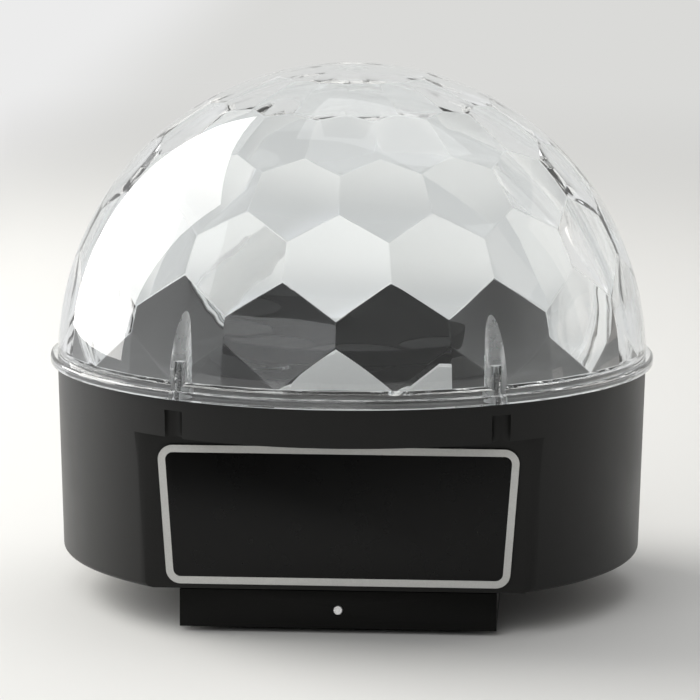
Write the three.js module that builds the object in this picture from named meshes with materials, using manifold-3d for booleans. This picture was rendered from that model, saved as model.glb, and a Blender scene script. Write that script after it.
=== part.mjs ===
// LED disco light: a clear dome with hexagon facets on a black drum. Inside, six LEDs shine through
// their collimators and a turning lens wheel. Millimetres, +Z up, the front faces -Y, and the origin
// is on the floor under the middle of the drum.

import * as THREE from "three";
import { mergeVertices } from "three/addons/utils/BufferGeometryUtils.js";
import Module from "manifold-3d";

// Clearances
const seatGap = 0.3;
const overrun = 1;
const flatness = 0.004;

// Drum, whose top is as wide as the dome
const drumTaper = 1.7;
const drumHeight = 62.3;
const drumWall = 2.5;
const drumEdgeRadius = 1.6;
const bandHeight = 12.2;
const recessDepth = 23.6;
const deckSeatWall = 2.6;
const seatRingWidth = 8.5;
const seatRingThickness = 2.5;
const channelWidth = 7;
const channelWall = 1.6;
const coverPostRadius = 3.8;
const coverPostHeight = 18;
const coverPostInset = 4;
const coverPostAngle = 20;
const ribThickness = 2.2;

// Bottom cover and plinth
const coverThickness = 2.5;
const coverInset = 2.2;
const plinthHeight = 12.4;
const plinthWidth = 101;
const plinthWall = 2.5;
const ventCount = 7;
const ventWidth = 3;
const ventLength = 40;
const ventPitch = 10;
const standoffRadius = 3;
const standoffHeight = 5;
const microphoneHeight = 5.8;
const microphoneCollar = 1.6;

// Feet
const footRadius = 5;
const footThickness = 1.5;
const footSetback = 14;
const footInset = 9;
const footPlugRadius = 2;

// Dome
const domeRadius = 97.6;
const domeCentreRise = 1.1;
const domeWall = 6.4;
const facetsPerRow = 16;
const facetRowAngles = [-1, 12, 27, 41.5, 55, 69, 82];
const rabbetWall = 3;
const rabbetHeight = 5.1;
const flangeWidth = 2.4;
const flangeThickness = 3;
const flangeEdge = 0.5;
const postRadius = 3.6;
const postInset = 6.1;
const postForward = 3.6;
const postHeight = 29;

// Deck with its LED turret
const deckThickness = 2;
const turretRise = 4;
const turretWall = 2;
const turretSlope = 3.5;
const turretBossRadius = 3.2;
const shaftHoleRadius = 6;

// LEDs, their board and heat sink
const ledCount = 6;
const ledInset = 8;
const ledBaseRadius = 2.9;
const ledBaseHeight = 0.9;
const ledDomeRadius = 1.6;
const collimatorFootRadius = 4.6;
const collimatorTopRadius = 8;
const collimatorRim = 1.8;
const collimatorProud = 0.4;
const turretMargin = 8;
const boardThickness = 1.6;
const boardMargin = 1.5;
const boardDrop = 5.5;
const sinkPlateThickness = 2.5;
const finCount = 18;
const finHeight = 12;
const finThickness = 1.6;
const finStart = 4;
const finInset = 1;
const sinkScrewAngle = 60;
const sinkScrewOutset = 2;

// Motor and rotor
const motorRadius = 24.5;
const motorHeight = 15;
const motorDrop = 3;
const motorEdge = 1.5;
const earRadius = 4;
const earThickness = 1.2;
const bearingRadius = 5;
const bearingHeight = 1.5;
const shaftRadius = 3;
const shaftDepth = 6;
const shaftFlatShare = 0.8;
const wheelInset = 1;
const wheelThickness = 2.2;
const wheelRimWidth = 1.6;
const wheelRimHeight = 1.2;
const wheelClearance = 3.4;
const hubRadius = 7;
const hubHeight = 7;
const hubDrop = 2.4;
const lensBumpCount = 12;
const lensBumpGap = 0.6;
const lensBumpRise = 2.4;

// Front label
const labelTopMargin = 5.6;
const labelFootMargin = 6.2;
const labelTopGap = 3.5;
const labelFootGap = 1.6;
const labelCorner = 4.8;
const labelThickness = 0.8;

// Rear panel and what it carries
const panelSideMargin = 6;
const panelTrim = 1.25;
const panelCorner = 3;
const panelThickness = 2;
const windowSideInset = 7;
const windowEdgeInset = 4;
const panelScrewInset = 4;
const inletShare = -0.277;
const inletWidth = 27;
const inletHeight = 20;
const inletDepth = 18;
const inletWall = 2;
const inletChamfer = 5;
const inletCorner = 0.5;
const inletBezel = 2.5;
const inletBezelThickness = 2;
const pinWidth = 2;
const pinHeight = 4;
const pinLength = 18;
const pinSpread = 7;
const pinEarthRise = 2;
const pinRecess = 3;
const switchWidth = 12.6;
const switchHeight = 18.6;
const switchDepth = 14;
const switchBezel = 1.3;
const switchBezelThickness = 1.5;
const rockerWidth = 9;
const rockerHalfHeight = 7.2;
const rockerCrown = 3.4;
const rockerDish = 1.4;
const rockerDepth = 5;
const rockerTilt = 12;
const rockerAxisDepth = 2.2;
const trunnionRadius = 1;
const trunnionLength = 1;
const modeShare = 0.161;
const modeTravel = 5;
const leverWidth = 4;
const leverHeight = 3;
const leverProud = 3.5;
const leverFootGrowth = 1.2;
const leverFootThickness = 1.5;
const modeBodyWidth = 18;
const modeBodyHeight = 8;
const modeBodyDepth = 6;
const modeBodyWall = 1.2;
const knobShare = 0.339;
const knobRadius = 7.5;
const knobHeight = 11;
const knobFlutes = 16;
const knobFluteShare = 0.94;
const knobChamfer = 0.8;
const potRadius = 8;
const potDepth = 8;
const potShaftRadius = 1.6;
const potShaftLength = 16;
const bushingRadius = 3.5;
const bushingProud = 1.5;

// Boards in the plinth
const boardSideMargin = 8;
const boardFrontMargin = 15.7;
const boardRearMargin = 8.7;
const boardsGap = 7;
const powerBoardShare = 0.585;
const standoffInset = 5;
const transformerSize = 20;
const transformerHeight = 17;
const transformerX = 18;
const coreThickness = 6;
const capacitorRadius = 6;
const capacitorHeight = 20;
const capacitorX = -16;
const chipWidth = 18;
const chipLength = 8;
const chipHeight = 2.4;
const chipLegCount = 7;

// Microphone capsule
const capsuleRadius = 3.2;
const capsuleDepth = 4;
const capsuleNoseRadius = 1.4;

// Screws
const screwRadius = 1.5;
const screwHeadRadius = 2.5;
const screwHeadHeight = 1.8;
const domeScrewLength = 16;
const coverScrewLength = 10;
const sinkScrewLength = 10;
const motorScrewLength = 4.5;
const panelScrewLength = 6;
const boardScrewLength = 4.5;
const wheelScrewLength = 6;

// Facets on round pieces
const drumSegments = 48;
const holeSegments = 8;
const smallSegments = 10;
const mediumSegments = 12;
const wheelSegments = 36;
const domeArcSteps = 10;

// Heights and places that follow from the sizes above
const plinthBottom = footThickness + seatGap;
const drumBottom = plinthBottom + plinthHeight;
const drumTop = drumBottom + drumHeight;
const drumTopRadius = domeRadius;
const drumBottomRadius = drumTopRadius - drumTaper;
const flatDistance = drumTopRadius - recessDepth;
const innerFlat = flatDistance - drumWall;
const deckSeatRadius = drumTopRadius - deckSeatWall;
const seatRingRadius = deckSeatRadius - seatRingWidth;
const facetDistance = domeRadius - domeWall;
const rabbetRadius = domeRadius - rabbetWall;
const flangeRadius = domeRadius + flangeWidth;
const postDistance = domeRadius - postInset;
const postAngle = THREE.MathUtils.radToDeg(Math.acos((flatDistance + postForward) / postDistance));
const ledgeZ = drumTop - bandHeight;
const deckTop = drumTop;
const deckBottom = deckTop - deckThickness;
const deckSeatZ = deckBottom - seatGap;
const ringBottom = deckSeatZ - seatRingThickness;
const flangeBottom = drumTop + seatGap;
const domeCentre = flangeBottom + domeCentreRise;
const coverBottom = drumBottom + coverInset;
const coverTop = coverBottom + coverThickness;
const coverPostBottom = coverTop + seatGap;
const coverPostDistance = drumBottomRadius - drumWall - coverPostInset;
const turretTop = deckTop + turretRise;
const turretCeiling = turretTop - turretWall;
const boardTop = deckTop - boardDrop;
const sinkTop = boardTop - boardThickness - seatGap;
const sinkBottom = sinkTop - sinkPlateThickness;
const motorTop = turretCeiling - motorDrop;
const earDistance = motorRadius + earRadius;
const boardInnerRadius = motorRadius + boardMargin;
const ledPitchRadius = boardInnerRadius + ledInset;
const sinkScrewDistance = ledPitchRadius + sinkScrewOutset;
const turretRadius = ledPitchRadius + collimatorTopRadius + turretMargin;
const turretFaceRadius = turretRadius - turretSlope;
const boardOuterRadius = turretRadius - turretWall - boardMargin;
const finInnerRadius = boardInnerRadius + finStart;
const wheelRadius = turretFaceRadius - wheelInset;
const lensBumpRadius = ledPitchRadius * Math.sin(Math.PI / lensBumpCount) - lensBumpGap;
const wheelBottom = turretTop + wheelClearance;
const hubBottom = wheelBottom - hubDrop;
const hubTop = hubBottom + hubHeight;
const labelHeight = drumHeight - bandHeight - labelTopGap - labelFootGap;
const labelFootZ = drumBottom + labelFootGap;
const labelTopZ = labelFootZ + labelHeight;
const labelCentreZ = (labelFootZ + labelTopZ) / 2;
const labelTopWidth = 2 * (flatHalfWidth(labelTopZ) - labelTopMargin);
const labelBottomWidth = 2 * (flatHalfWidth(labelFootZ) - labelFootMargin);
const panelWidth = 2 * (flatHalfWidth(labelCentreZ) - panelSideMargin);
const panelHeight = labelHeight - 2 * panelTrim;
const windowWidth = panelWidth - 2 * windowSideInset;
const windowHeight = panelHeight - 2 * windowEdgeInset;
const inletX = panelWidth * inletShare;
const modeX = panelWidth * modeShare;
const knobX = panelWidth * knobShare;
const labelBack = flatDistance + seatGap;
const panelInside = flatDistance + seatGap;
const panelOutside = panelInside + panelThickness;
const partOutside = panelOutside + seatGap;
const pilotRadius = screwRadius + seatGap;
const trayFloor = plinthBottom + plinthWall;
const boardUnderside = trayFloor + standoffHeight + seatGap;
const trayHalfLength = innerFlat - seatGap - plinthWall;
const boardWidth = plinthWidth - 2 * (plinthWall + boardSideMargin);
const boardsLength = 2 * trayHalfLength - boardFrontMargin - boardRearMargin - boardsGap;
const powerBoardLength = boardsLength * powerBoardShare;
const controlBoardLength = boardsLength - powerBoardLength;
const powerBoardY = boardFrontMargin + powerBoardLength / 2 - trayHalfLength;
const controlBoardY = trayHalfLength - boardRearMargin - controlBoardLength / 2;
const inletFace = partOutside + inletBezelThickness;
const switchFace = partOutside + switchBezelThickness;
const rockerAxisY = switchFace - rockerAxisDepth;
const rockerSwing = Math.hypot(rockerHalfHeight, rockerCrown);
const fittingFace = panelInside - seatGap;
const leverFootWidth = leverWidth + 2 * leverFootGrowth;
const leverFootHeight = leverHeight + 2 * leverFootGrowth;
const potBack = fittingFace - potDepth;
const potShaftFoot = potBack + potDepth / 2 + seatGap;
const knobBottom = panelOutside + seatGap;

const wasm = await Module();
wasm.setup();

// Solids and geometry

function toSolid(geometry) {
  const plain = geometry.index ? geometry.toNonIndexed() : geometry.clone();
  plain.deleteAttribute("normal");
  plain.deleteAttribute("uv");
  const merged = mergeVertices(plain);
  const corners = merged.index.array;
  const triangles = [];
  for (let i = 0; i < corners.length; i += 3) {
    const [a, b, c] = [corners[i], corners[i + 1], corners[i + 2]];
    if (a !== b && b !== c && c !== a) triangles.push(a, b, c);
  }
  return new wasm.Manifold(new wasm.Mesh({
    numProp: 3,
    vertProperties: new Float32Array(merged.attributes.position.array),
    triVerts: new Uint32Array(triangles),
  }));
}

function toGeometry(solid) {
  const mesh = solid.asOriginal().simplify(flatness).getMesh();
  const geometry = new THREE.BufferGeometry();
  geometry.setAttribute("position", new THREE.BufferAttribute(mesh.vertProperties, 3));
  geometry.setIndex(new THREE.BufferAttribute(mesh.triVerts, 1));
  geometry.computeVertexNormals();
  return geometry;
}

function joined(first, ...others) {
  return others.reduce((solid, other) => solid.add(other), first);
}

function cut(first, ...tools) {
  return tools.reduce((solid, tool) => solid.subtract(tool), first);
}

// A block centred on x and y, standing on z
function block(width, depth, height, x = 0, y = 0, z = 0) {
  return new THREE.BoxGeometry(width, depth, height).translate(x, y, z + height / 2);
}

function rod(radius, height, x = 0, y = 0, z = 0, segments = smallSegments) {
  return new THREE.CylinderGeometry(radius, radius, height, segments)
    .rotateX(Math.PI / 2)
    .translate(x, y, z + height / 2);
}

// A straight hole for a screw or a plug
function drilled(radius, depth, x, y, z) {
  return toSolid(rod(radius, depth, x, y, z, holeSegments));
}

// A screw's pilot hole, from the face that it enters by to just past its tip
function pilotHole(x, y, face, tip) {
  return drilled(pilotRadius, tip + seatGap - face + overrun, x, y, face - overrun);
}

// A turned piece about Z: its profile is a list of [radius, height] that rises on the outside
function turned(profile, segments = smallSegments) {
  const points = profile.map(([radius, height]) => new THREE.Vector2(radius, height));
  const lathe = new THREE.LatheGeometry(points, segments).rotateX(Math.PI / 2);
  return toGeometry(toSolid(lathe));
}

// An outline in x and y, raised along Z
function raised(shape, height, z = 0, curveSegments = 3) {
  return new THREE.ExtrudeGeometry(shape, { depth: height, bevelEnabled: false, curveSegments })
    .translate(0, 0, z);
}

// An outline in x and z, as a plate that spans from y to y + thickness
function upright(shape, thickness, y, curveSegments = 3) {
  return new THREE.ExtrudeGeometry(shape, { depth: thickness, bevelEnabled: false, curveSegments })
    .rotateX(Math.PI / 2)
    .translate(0, y + thickness, 0);
}

function roundedRectangle(width, height, corner, x = 0, y = 0) {
  const [right, top] = [width / 2 - corner, height / 2 - corner];
  const shape = new THREE.Shape();
  shape.absarc(x + right, y + top, corner, 0, Math.PI / 2);
  shape.absarc(x - right, y + top, corner, Math.PI / 2, Math.PI);
  shape.absarc(x - right, y - top, corner, Math.PI, Math.PI * 1.5);
  shape.absarc(x + right, y - top, corner, Math.PI * 1.5, Math.PI * 2);
  return shape;
}

function polygon(points) {
  return new THREE.Shape(points.map(([x, y]) => new THREE.Vector2(x, y)));
}

// Quarter arc of a profile, from straight down to straight out
function roundedEdge(centreRadius, centreHeight, radius, steps = 3) {
  return Array.from({ length: steps + 1 }, (_, i) => {
    const angle = (i / steps - 1) * Math.PI / 2;
    return [centreRadius + radius * Math.cos(angle), centreHeight + radius * Math.sin(angle)];
  });
}

function around(count, first = 0) {
  return Array.from({ length: count }, (_, i) => THREE.MathUtils.degToRad(first + i * 360 / count));
}

function onCircle(distance, degrees) {
  const angle = THREE.MathUtils.degToRad(degrees);
  return [distance * Math.cos(angle), distance * Math.sin(angle)];
}

// Turns a piece that stands on z = 0 to point along +Y, with its foot at a place
function alongY(geometry, x, y, z) {
  return geometry.rotateX(-Math.PI / 2).translate(x, y, z);
}

function spun(geometry, degrees) {
  return geometry.rotateZ(THREE.MathUtils.degToRad(degrees));
}

// Angles of the four dome screws and of the four cover screws, from +X
const frontAngle = -90;
const rearAngle = 90;
const domeScrewAngles = [
  frontAngle - postAngle, frontAngle + postAngle, rearAngle - postAngle, rearAngle + postAngle,
];
const coverScrewAngles = [-coverPostAngle, coverPostAngle, 180 - coverPostAngle, 180 + coverPostAngle];

// Base housing: a drafted drum with its wall stepped in to a flat at the front and at the rear

function drumRadiusAt(z) {
  return drumBottomRadius + (drumTopRadius - drumBottomRadius) * (z - drumBottom) / drumHeight;
}

// Half the width of the flat between the drum's round sides
function flatHalfWidth(z) {
  return Math.sqrt(drumRadiusAt(z) ** 2 - flatDistance ** 2);
}

function drumOutside() {
  const edgeTop = drumBottom + drumEdgeRadius;
  return toSolid(turned([
    [0, drumBottom],
    ...roundedEdge(drumRadiusAt(edgeTop) - drumEdgeRadius, edgeTop, drumEdgeRadius),
    [drumTopRadius, drumTop],
    [0, drumTop],
  ], drumSegments));
}

function drumInside() {
  return toSolid(turned([
    [0, drumBottom - overrun],
    [drumRadiusAt(drumBottom - overrun) - drumWall, drumBottom - overrun],
    [drumRadiusAt(ringBottom) - drumWall, ringBottom],
    [0, ringBottom],
  ], drumSegments));
}

// All that lies beyond the front or the rear flat, from below the drum up to a height
function beyondFlat(side, distance, top) {
  const bottom = drumBottom - 2 * overrun;
  return toSolid(block(
    2 * flangeRadius, flangeRadius, top - bottom, 0, side * (distance + flangeRadius / 2), bottom,
  ));
}

// A slot from a screw's axis outwards, with a half-round end
function channelTool(angle, grow, bottom) {
  const half = channelWidth / 2 + grow;
  const shape = new THREE.Shape();
  shape.absarc(postDistance, 0, half, Math.PI / 2, Math.PI * 1.5);
  shape.lineTo(flangeRadius, -half);
  shape.lineTo(flangeRadius, half);
  return toSolid(spun(raised(shape, ringBottom - bottom, bottom, 8), angle));
}

function coverPost(angle) {
  const post = toSolid(rod(coverPostRadius, coverPostHeight, coverPostDistance, 0, coverPostBottom));
  const ribLength = drumBottomRadius - drumWall / 2 - coverPostDistance;
  const rib = toSolid(block(
    ribLength, ribThickness, coverPostHeight,
    coverPostDistance + ribLength / 2, 0, coverPostBottom,
  ));
  const pilot = pilotHole(coverPostDistance, 0, coverPostBottom, coverBottom + coverScrewLength);
  return cut(post.add(rib), pilot).rotate([0, 0, angle]);
}

function baseHousingShape() {
  const outside = cut(
    drumOutside(), beyondFlat(-1, flatDistance, ledgeZ), beyondFlat(1, flatDistance, ledgeZ),
  );
  const ledgeTop = ledgeZ + drumWall;
  const room = cut(
    drumInside(),
    beyondFlat(-1, innerFlat, ledgeTop),
    beyondFlat(1, innerFlat, ledgeTop),
    ...domeScrewAngles.map((angle) => channelTool(angle, channelWall, ledgeZ)),
  );
  const ringHole = toSolid(rod(
    seatRingRadius, drumHeight, 0, 0, ringBottom - overrun, drumSegments,
  ));
  const deckSeat = toSolid(rod(deckSeatRadius, drumHeight, 0, 0, deckSeatZ, drumSegments));
  const channels = domeScrewAngles.map((angle) => channelTool(angle, 0, ledgeZ - overrun));
  const screwHoles = domeScrewAngles.map(
    (angle) => drilled(pilotRadius, bandHeight, ...onCircle(postDistance, angle), ledgeZ),
  );
  const rearWindow = toSolid(upright(
    roundedRectangle(windowWidth, windowHeight, panelCorner, 0, labelCentreZ),
    drumWall + 2 * overrun, innerFlat - overrun,
  ));
  const panelHoles = panelScrewPlaces().map(([x, z]) => screwHoleAlongY(x, z));
  const shell = cut(outside, room, ringHole, deckSeat, ...channels, ...screwHoles, rearWindow);
  return cut(joined(shell, ...coverScrewAngles.map(coverPost)), ...panelHoles);
}

function panelScrewPlaces() {
  const [x, z] = [panelWidth / 2 - panelScrewInset, panelHeight / 2 - panelScrewInset];
  return [[-x, labelCentreZ - z], [x, labelCentreZ + z]];
}

function screwHoleAlongY(x, z) {
  const length = drumWall + panelThickness + 4 * overrun;
  const hole = rod(pilotRadius, length, 0, 0, 0, holeSegments);
  return toSolid(alongY(hole, x, innerFlat - overrun, z));
}

// Bottom cover: a disc inside the drum's wall, in one moulding with the plinth below it

function ventTools() {
  return Array.from({ length: ventCount }, (_, i) => toSolid(raised(
    roundedRectangle(ventWidth, ventLength, ventWidth / 2, (i - (ventCount - 1) / 2) * ventPitch),
    plinthWall + 2 * overrun, plinthBottom - overrun, 2,
  )));
}

function standoffPlaces() {
  const x = boardWidth / 2 - standoffInset;
  const powerY = powerBoardLength / 2 - standoffInset;
  const controlY = controlBoardLength / 2 - standoffInset;
  return [
    [-x, powerBoardY - powerY], [x, powerBoardY - powerY],
    [-x, powerBoardY + powerY], [x, powerBoardY + powerY],
    [-x, controlBoardY - controlY], [x, controlBoardY - controlY],
    [-x, controlBoardY + controlY], [x, controlBoardY + controlY],
  ];
}

// One screw holds each board: the first standoff's and the last one's
function boardScrewPlaces() {
  const places = standoffPlaces();
  return [places[0], places[places.length - 1]];
}

function footPlaces() {
  const x = plinthWidth / 2 - footInset;
  const y = flatDistance - footSetback - footRadius;
  return [[-x, -y], [x, -y], [-x, y], [x, y]];
}

function bottomCoverShape() {
  const rimRadius = drumBottomRadius - drumWall - seatGap;
  const disc = toSolid(rod(rimRadius, coverThickness, 0, 0, coverBottom, drumSegments));
  const flats = [-1, 1].map((side) => beyondFlat(side, innerFlat - seatGap, coverTop + overrun));
  const plinthTop = drumBottom - seatGap;
  const plinth = toSolid(block(
    plinthWidth, 2 * flatDistance, plinthTop - plinthBottom, 0, 0, plinthBottom,
  ));
  const neck = toSolid(block(
    plinthWidth, 2 * (innerFlat - seatGap), coverTop - plinthBottom, 0, 0, plinthBottom,
  ));
  const tray = toSolid(block(
    plinthWidth - 2 * plinthWall, 2 * trayHalfLength,
    coverTop - trayFloor + overrun, 0, 0, trayFloor,
  ));
  const standoffs = standoffPlaces().map(([x, y]) => toSolid(
    rod(standoffRadius, standoffHeight + overrun, x, y, trayFloor - overrun, holeSegments),
  ));
  const standoffHoles = boardScrewPlaces().map(
    ([x, y]) => drilled(pilotRadius, standoffHeight, x, y, trayFloor + seatGap),
  );
  const footHoles = footPlaces().map(([x, y]) => drilled(
    footPlugRadius + seatGap, plinthWall + 2 * overrun, x, y, plinthBottom - overrun,
  ));
  const coverHoles = coverScrewAngles.map((angle) => drilled(
    pilotRadius, coverThickness + 2 * overrun,
    ...onCircle(coverPostDistance, angle), coverBottom - overrun,
  ));
  const shell = cut(joined(cut(disc, ...flats), plinth, neck), tray, ...ventTools());
  const microphoneZ = plinthBottom + microphoneHeight;
  const collar = toSolid(alongY(
    rod(capsuleRadius + seatGap + microphoneCollar, capsuleDepth + plinthWall, 0, 0, 0, mediumSegments),
    0, -flatDistance + seatGap, microphoneZ,
  ));
  const collarRoom = toSolid(alongY(
    rod(capsuleRadius + seatGap, capsuleDepth + plinthWall, 0, 0, 0, mediumSegments),
    0, -flatDistance + plinthWall, microphoneZ,
  ));
  const noseHole = toSolid(alongY(
    rod(capsuleNoseRadius + seatGap, plinthWall + 2 * overrun),
    0, -flatDistance - overrun, microphoneZ,
  ));
  return cut(
    joined(shell, ...standoffs, collar),
    collarRoom, noseHole, ...standoffHoles, ...footHoles, ...coverHoles,
  );
}

// Dome: smooth outside, hexagon facets inside, with a rabbet, a flange and four screw posts

function domeOutside() {
  const low = Math.asin((flangeThickness - domeCentreRise) / domeRadius);
  const arc = Array.from({ length: domeArcSteps + 1 }, (_, i) => {
    const angle = low + (Math.PI / 2 - low) * i / domeArcSteps;
    return [domeRadius * Math.cos(angle), domeCentre + domeRadius * Math.sin(angle)];
  });
  arc[domeArcSteps][0] = 0;
  const flangeTop = flangeBottom + flangeThickness;
  return toSolid(turned([
    [0, flangeBottom],
    [flangeRadius - flangeEdge, flangeBottom],
    [flangeRadius, flangeBottom + flangeEdge],
    [flangeRadius, flangeTop - flangeEdge],
    [flangeRadius - flangeEdge, flangeTop],
    ...arc,
  ], drumSegments));
}

// The faceted room: every facet is the plane that touches a sphere at its middle
function facetedRoom() {
  let room = toSolid(block(
    2 * domeRadius, 2 * domeRadius, domeRadius, 0, 0, flangeBottom + rabbetHeight,
  ));
  facetRowAngles.forEach((rowAngle, row) => {
    const rise = THREE.MathUtils.degToRad(rowAngle);
    const halfStep = row % 2 * 180 / facetsPerRow;
    for (const angle of around(facetsPerRow, frontAngle + halfStep)) {
      const normal = new THREE.Vector3(
        Math.cos(rise) * Math.cos(angle), Math.cos(rise) * Math.sin(angle), Math.sin(rise),
      );
      const offset = facetDistance + domeCentre * normal.z;
      room = room.trimByPlane(normal.clone().negate().toArray(), -offset);
    }
  });
  return room;
}

function domeShape() {
  const rabbet = toSolid(rod(
    rabbetRadius, rabbetHeight + overrun, 0, 0, flangeBottom - overrun, drumSegments,
  ));
  const outside = domeOutside();
  const posts = domeScrewAngles.map((angle) => toSolid(spun(
    rod(postRadius, postHeight, postDistance, 0, flangeBottom, mediumSegments), angle,
  )).intersect(outside));
  const pilots = domeScrewAngles.map((angle) => pilotHole(
    ...onCircle(postDistance, angle), flangeBottom, ringBottom + domeScrewLength,
  ));
  return cut(joined(cut(outside, rabbet, facetedRoom()), ...posts), ...pilots);
}

// Deck plate with a low turret, whose sloped rim rings the LED collimators

function deckShape() {
  const outside = toSolid(turned([
    [0, deckBottom],
    [deckSeatRadius - seatGap, deckBottom],
    [deckSeatRadius - seatGap, deckTop],
    [turretRadius, deckTop],
    [turretFaceRadius, turretTop],
    [0, turretTop],
  ], wheelSegments));
  const room = toSolid(rod(
    turretFaceRadius - turretWall, turretCeiling - deckBottom + overrun,
    0, 0, deckBottom - overrun, wheelSegments,
  ));
  const lensHoles = around(ledCount, 180 / ledCount).map((angle) => toSolid(
    rod(collimatorTopRadius + seatGap, turretRise, ledPitchRadius, 0, turretCeiling - overrun,
      mediumSegments).rotateZ(angle),
  ));
  const shaftHole = toSolid(rod(shaftHoleRadius, turretRise, 0, 0, turretCeiling - overrun));
  const screwHoles = domeScrewAngles.map((angle) => drilled(
    pilotRadius, deckThickness + 2 * overrun, ...onCircle(postDistance, angle), deckBottom - overrun,
  ));
  const bosses = [...sinkScrewPlaces(), ...motorScrewPlaces()].map(([x, y, bottom]) => toSolid(
    rod(turretBossRadius, turretTop - turretWall / 2 - bottom, x, y, bottom),
  ));
  const pilots = [
    ...sinkScrewPlaces().map(
      ([x, y, bottom]) => pilotHole(x, y, bottom, sinkBottom + sinkScrewLength),
    ),
    ...motorScrewPlaces().map(
      ([x, y, bottom]) => pilotHole(x, y, bottom, motorTop - earThickness + motorScrewLength),
    ),
  ];
  const plate = joined(cut(outside, room), ...bosses);
  return cut(plate, ...lensHoles, shaftHole, ...screwHoles, ...pilots);
}

function sinkScrewPlaces() {
  return [sinkScrewAngle, sinkScrewAngle + 180].map(
    (angle) => [...onCircle(sinkScrewDistance, angle), boardTop + seatGap],
  );
}

function motorScrewPlaces() {
  return [0, 180].map((angle) => [...onCircle(earDistance, angle), motorTop + seatGap]);
}

// LED board and heat sink: two rings round the motor, held by two screws

function ring(inner, outer, height, z, segments = wheelSegments) {
  return cut(
    toSolid(rod(outer, height, 0, 0, z, segments)),
    toSolid(rod(inner, height + 2 * overrun, 0, 0, z - overrun, segments / 2)),
  );
}

function sinkScrewHoles() {
  return sinkScrewPlaces().map(([x, y]) => drilled(
    pilotRadius, boardTop - sinkBottom + 2 * overrun, x, y, sinkBottom - overrun,
  ));
}

function ledBoardShape() {
  const board = ring(boardInnerRadius, boardOuterRadius, boardThickness, boardTop - boardThickness);
  return cut(board, ...sinkScrewHoles());
}

function heatSinkShape() {
  const plate = ring(boardInnerRadius, boardOuterRadius, sinkPlateThickness, sinkBottom);
  const finLength = boardOuterRadius - finInset - finInnerRadius;
  const fins = around(finCount, 180 / finCount).map((angle) => toSolid(
    block(finLength, finThickness, finHeight + overrun,
      finInnerRadius + finLength / 2, 0, sinkBottom - finHeight).rotateZ(angle),
  ));
  return cut(joined(plate, ...fins), ...sinkScrewHoles());
}

// An LED on z = 0: square-edged base with a small clear dome
function ledGeometry() {
  return turned([
    [0, 0],
    [ledBaseRadius, 0],
    [ledBaseRadius, ledBaseHeight],
    [ledDomeRadius, ledBaseHeight],
    [ledDomeRadius * Math.SQRT1_2, ledBaseHeight + ledDomeRadius * Math.SQRT1_2],
    [0, ledBaseHeight + ledDomeRadius],
  ], holeSegments);
}

// A collimator on z = 0: a flared lens with a pocket for the LED below and a shallow dish on top
function collimatorGeometry() {
  const height = turretTop + collimatorProud - boardTop - seatGap;
  const pocketRadius = ledBaseRadius + seatGap;
  const pocketDepth = ledBaseHeight + ledDomeRadius + 2 * seatGap;
  return turned([
    [0, pocketDepth],
    [pocketRadius, pocketDepth],
    [pocketRadius, 0],
    [collimatorFootRadius, 0],
    [collimatorTopRadius, height - collimatorRim],
    [collimatorTopRadius, height],
    [0, height - collimatorRim / 2],
  ], mediumSegments);
}

// Gear motor: a flat can with two ears and a bearing boss that the shaft leaves by

function motorShape() {
  const bottom = motorTop - motorHeight;
  const can = toSolid(turned([
    [0, bottom],
    ...roundedEdge(motorRadius - motorEdge, bottom + motorEdge, motorEdge, 2),
    [motorRadius, motorTop],
    [bearingRadius, motorTop],
    [bearingRadius, motorTop + bearingHeight],
    [0, motorTop + bearingHeight],
  ], wheelSegments));
  const earShape = roundedRectangle(2 * (earDistance + earRadius), 2 * earRadius, earRadius);
  const ears = toSolid(raised(earShape, earThickness, motorTop - earThickness));
  const bore = toSolid(rod(
    shaftRadius + seatGap, shaftDepth + bearingHeight + overrun,
    0, 0, motorTop - shaftDepth, mediumSegments,
  ));
  const holes = motorScrewPlaces().map(([x, y]) => drilled(
    pilotRadius, earThickness + 2 * overrun, x, y, motorTop - earThickness - overrun,
  ));
  return cut(can.add(ears), bore, ...holes);
}

// The motor's output shaft with its flat, drilled at the top for the wheel's screw
function flattenedRod(radius, height, z) {
  const flat = toSolid(block(2 * radius, radius, height + 2 * overrun,
    0, radius * (shaftFlatShare + 1 / 2), z - overrun));
  return cut(toSolid(rod(radius, height, 0, 0, z, mediumSegments)), flat);
}

function shaftShape() {
  const bottom = motorTop - shaftDepth + seatGap;
  const shaft = flattenedRod(shaftRadius, hubTop - seatGap - bottom, bottom);
  const thread = drilled(pilotRadius, wheelScrewLength, 0, 0, hubTop - wheelScrewLength);
  return cut(shaft, thread);
}

// Lens wheel: a disc with a flat face, a ring of lens bumps under it, a raised rim and a hub

function wheelShape() {
  const top = wheelBottom + wheelThickness;
  const disc = toSolid(turned([
    [0, hubBottom],
    [hubRadius, hubBottom],
    [hubRadius, wheelBottom],
    [wheelRadius, wheelBottom],
    [wheelRadius, top + wheelRimHeight],
    [wheelRadius - wheelRimWidth, top + wheelRimHeight],
    [wheelRadius - wheelRimWidth, top],
    [hubRadius, top],
    [hubRadius, hubTop],
    [0, hubTop],
  ], wheelSegments));
  const bumps = around(lensBumpCount, 180 / lensBumpCount).map((angle) => toSolid(
    lensBump().rotateX(Math.PI).translate(ledPitchRadius, 0, wheelBottom).rotateZ(angle),
  ));
  const bore = flattenedRod(shaftRadius + seatGap, hubHeight + 2 * overrun, hubBottom - overrun);
  return cut(joined(disc, ...bumps), bore);
}

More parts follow.
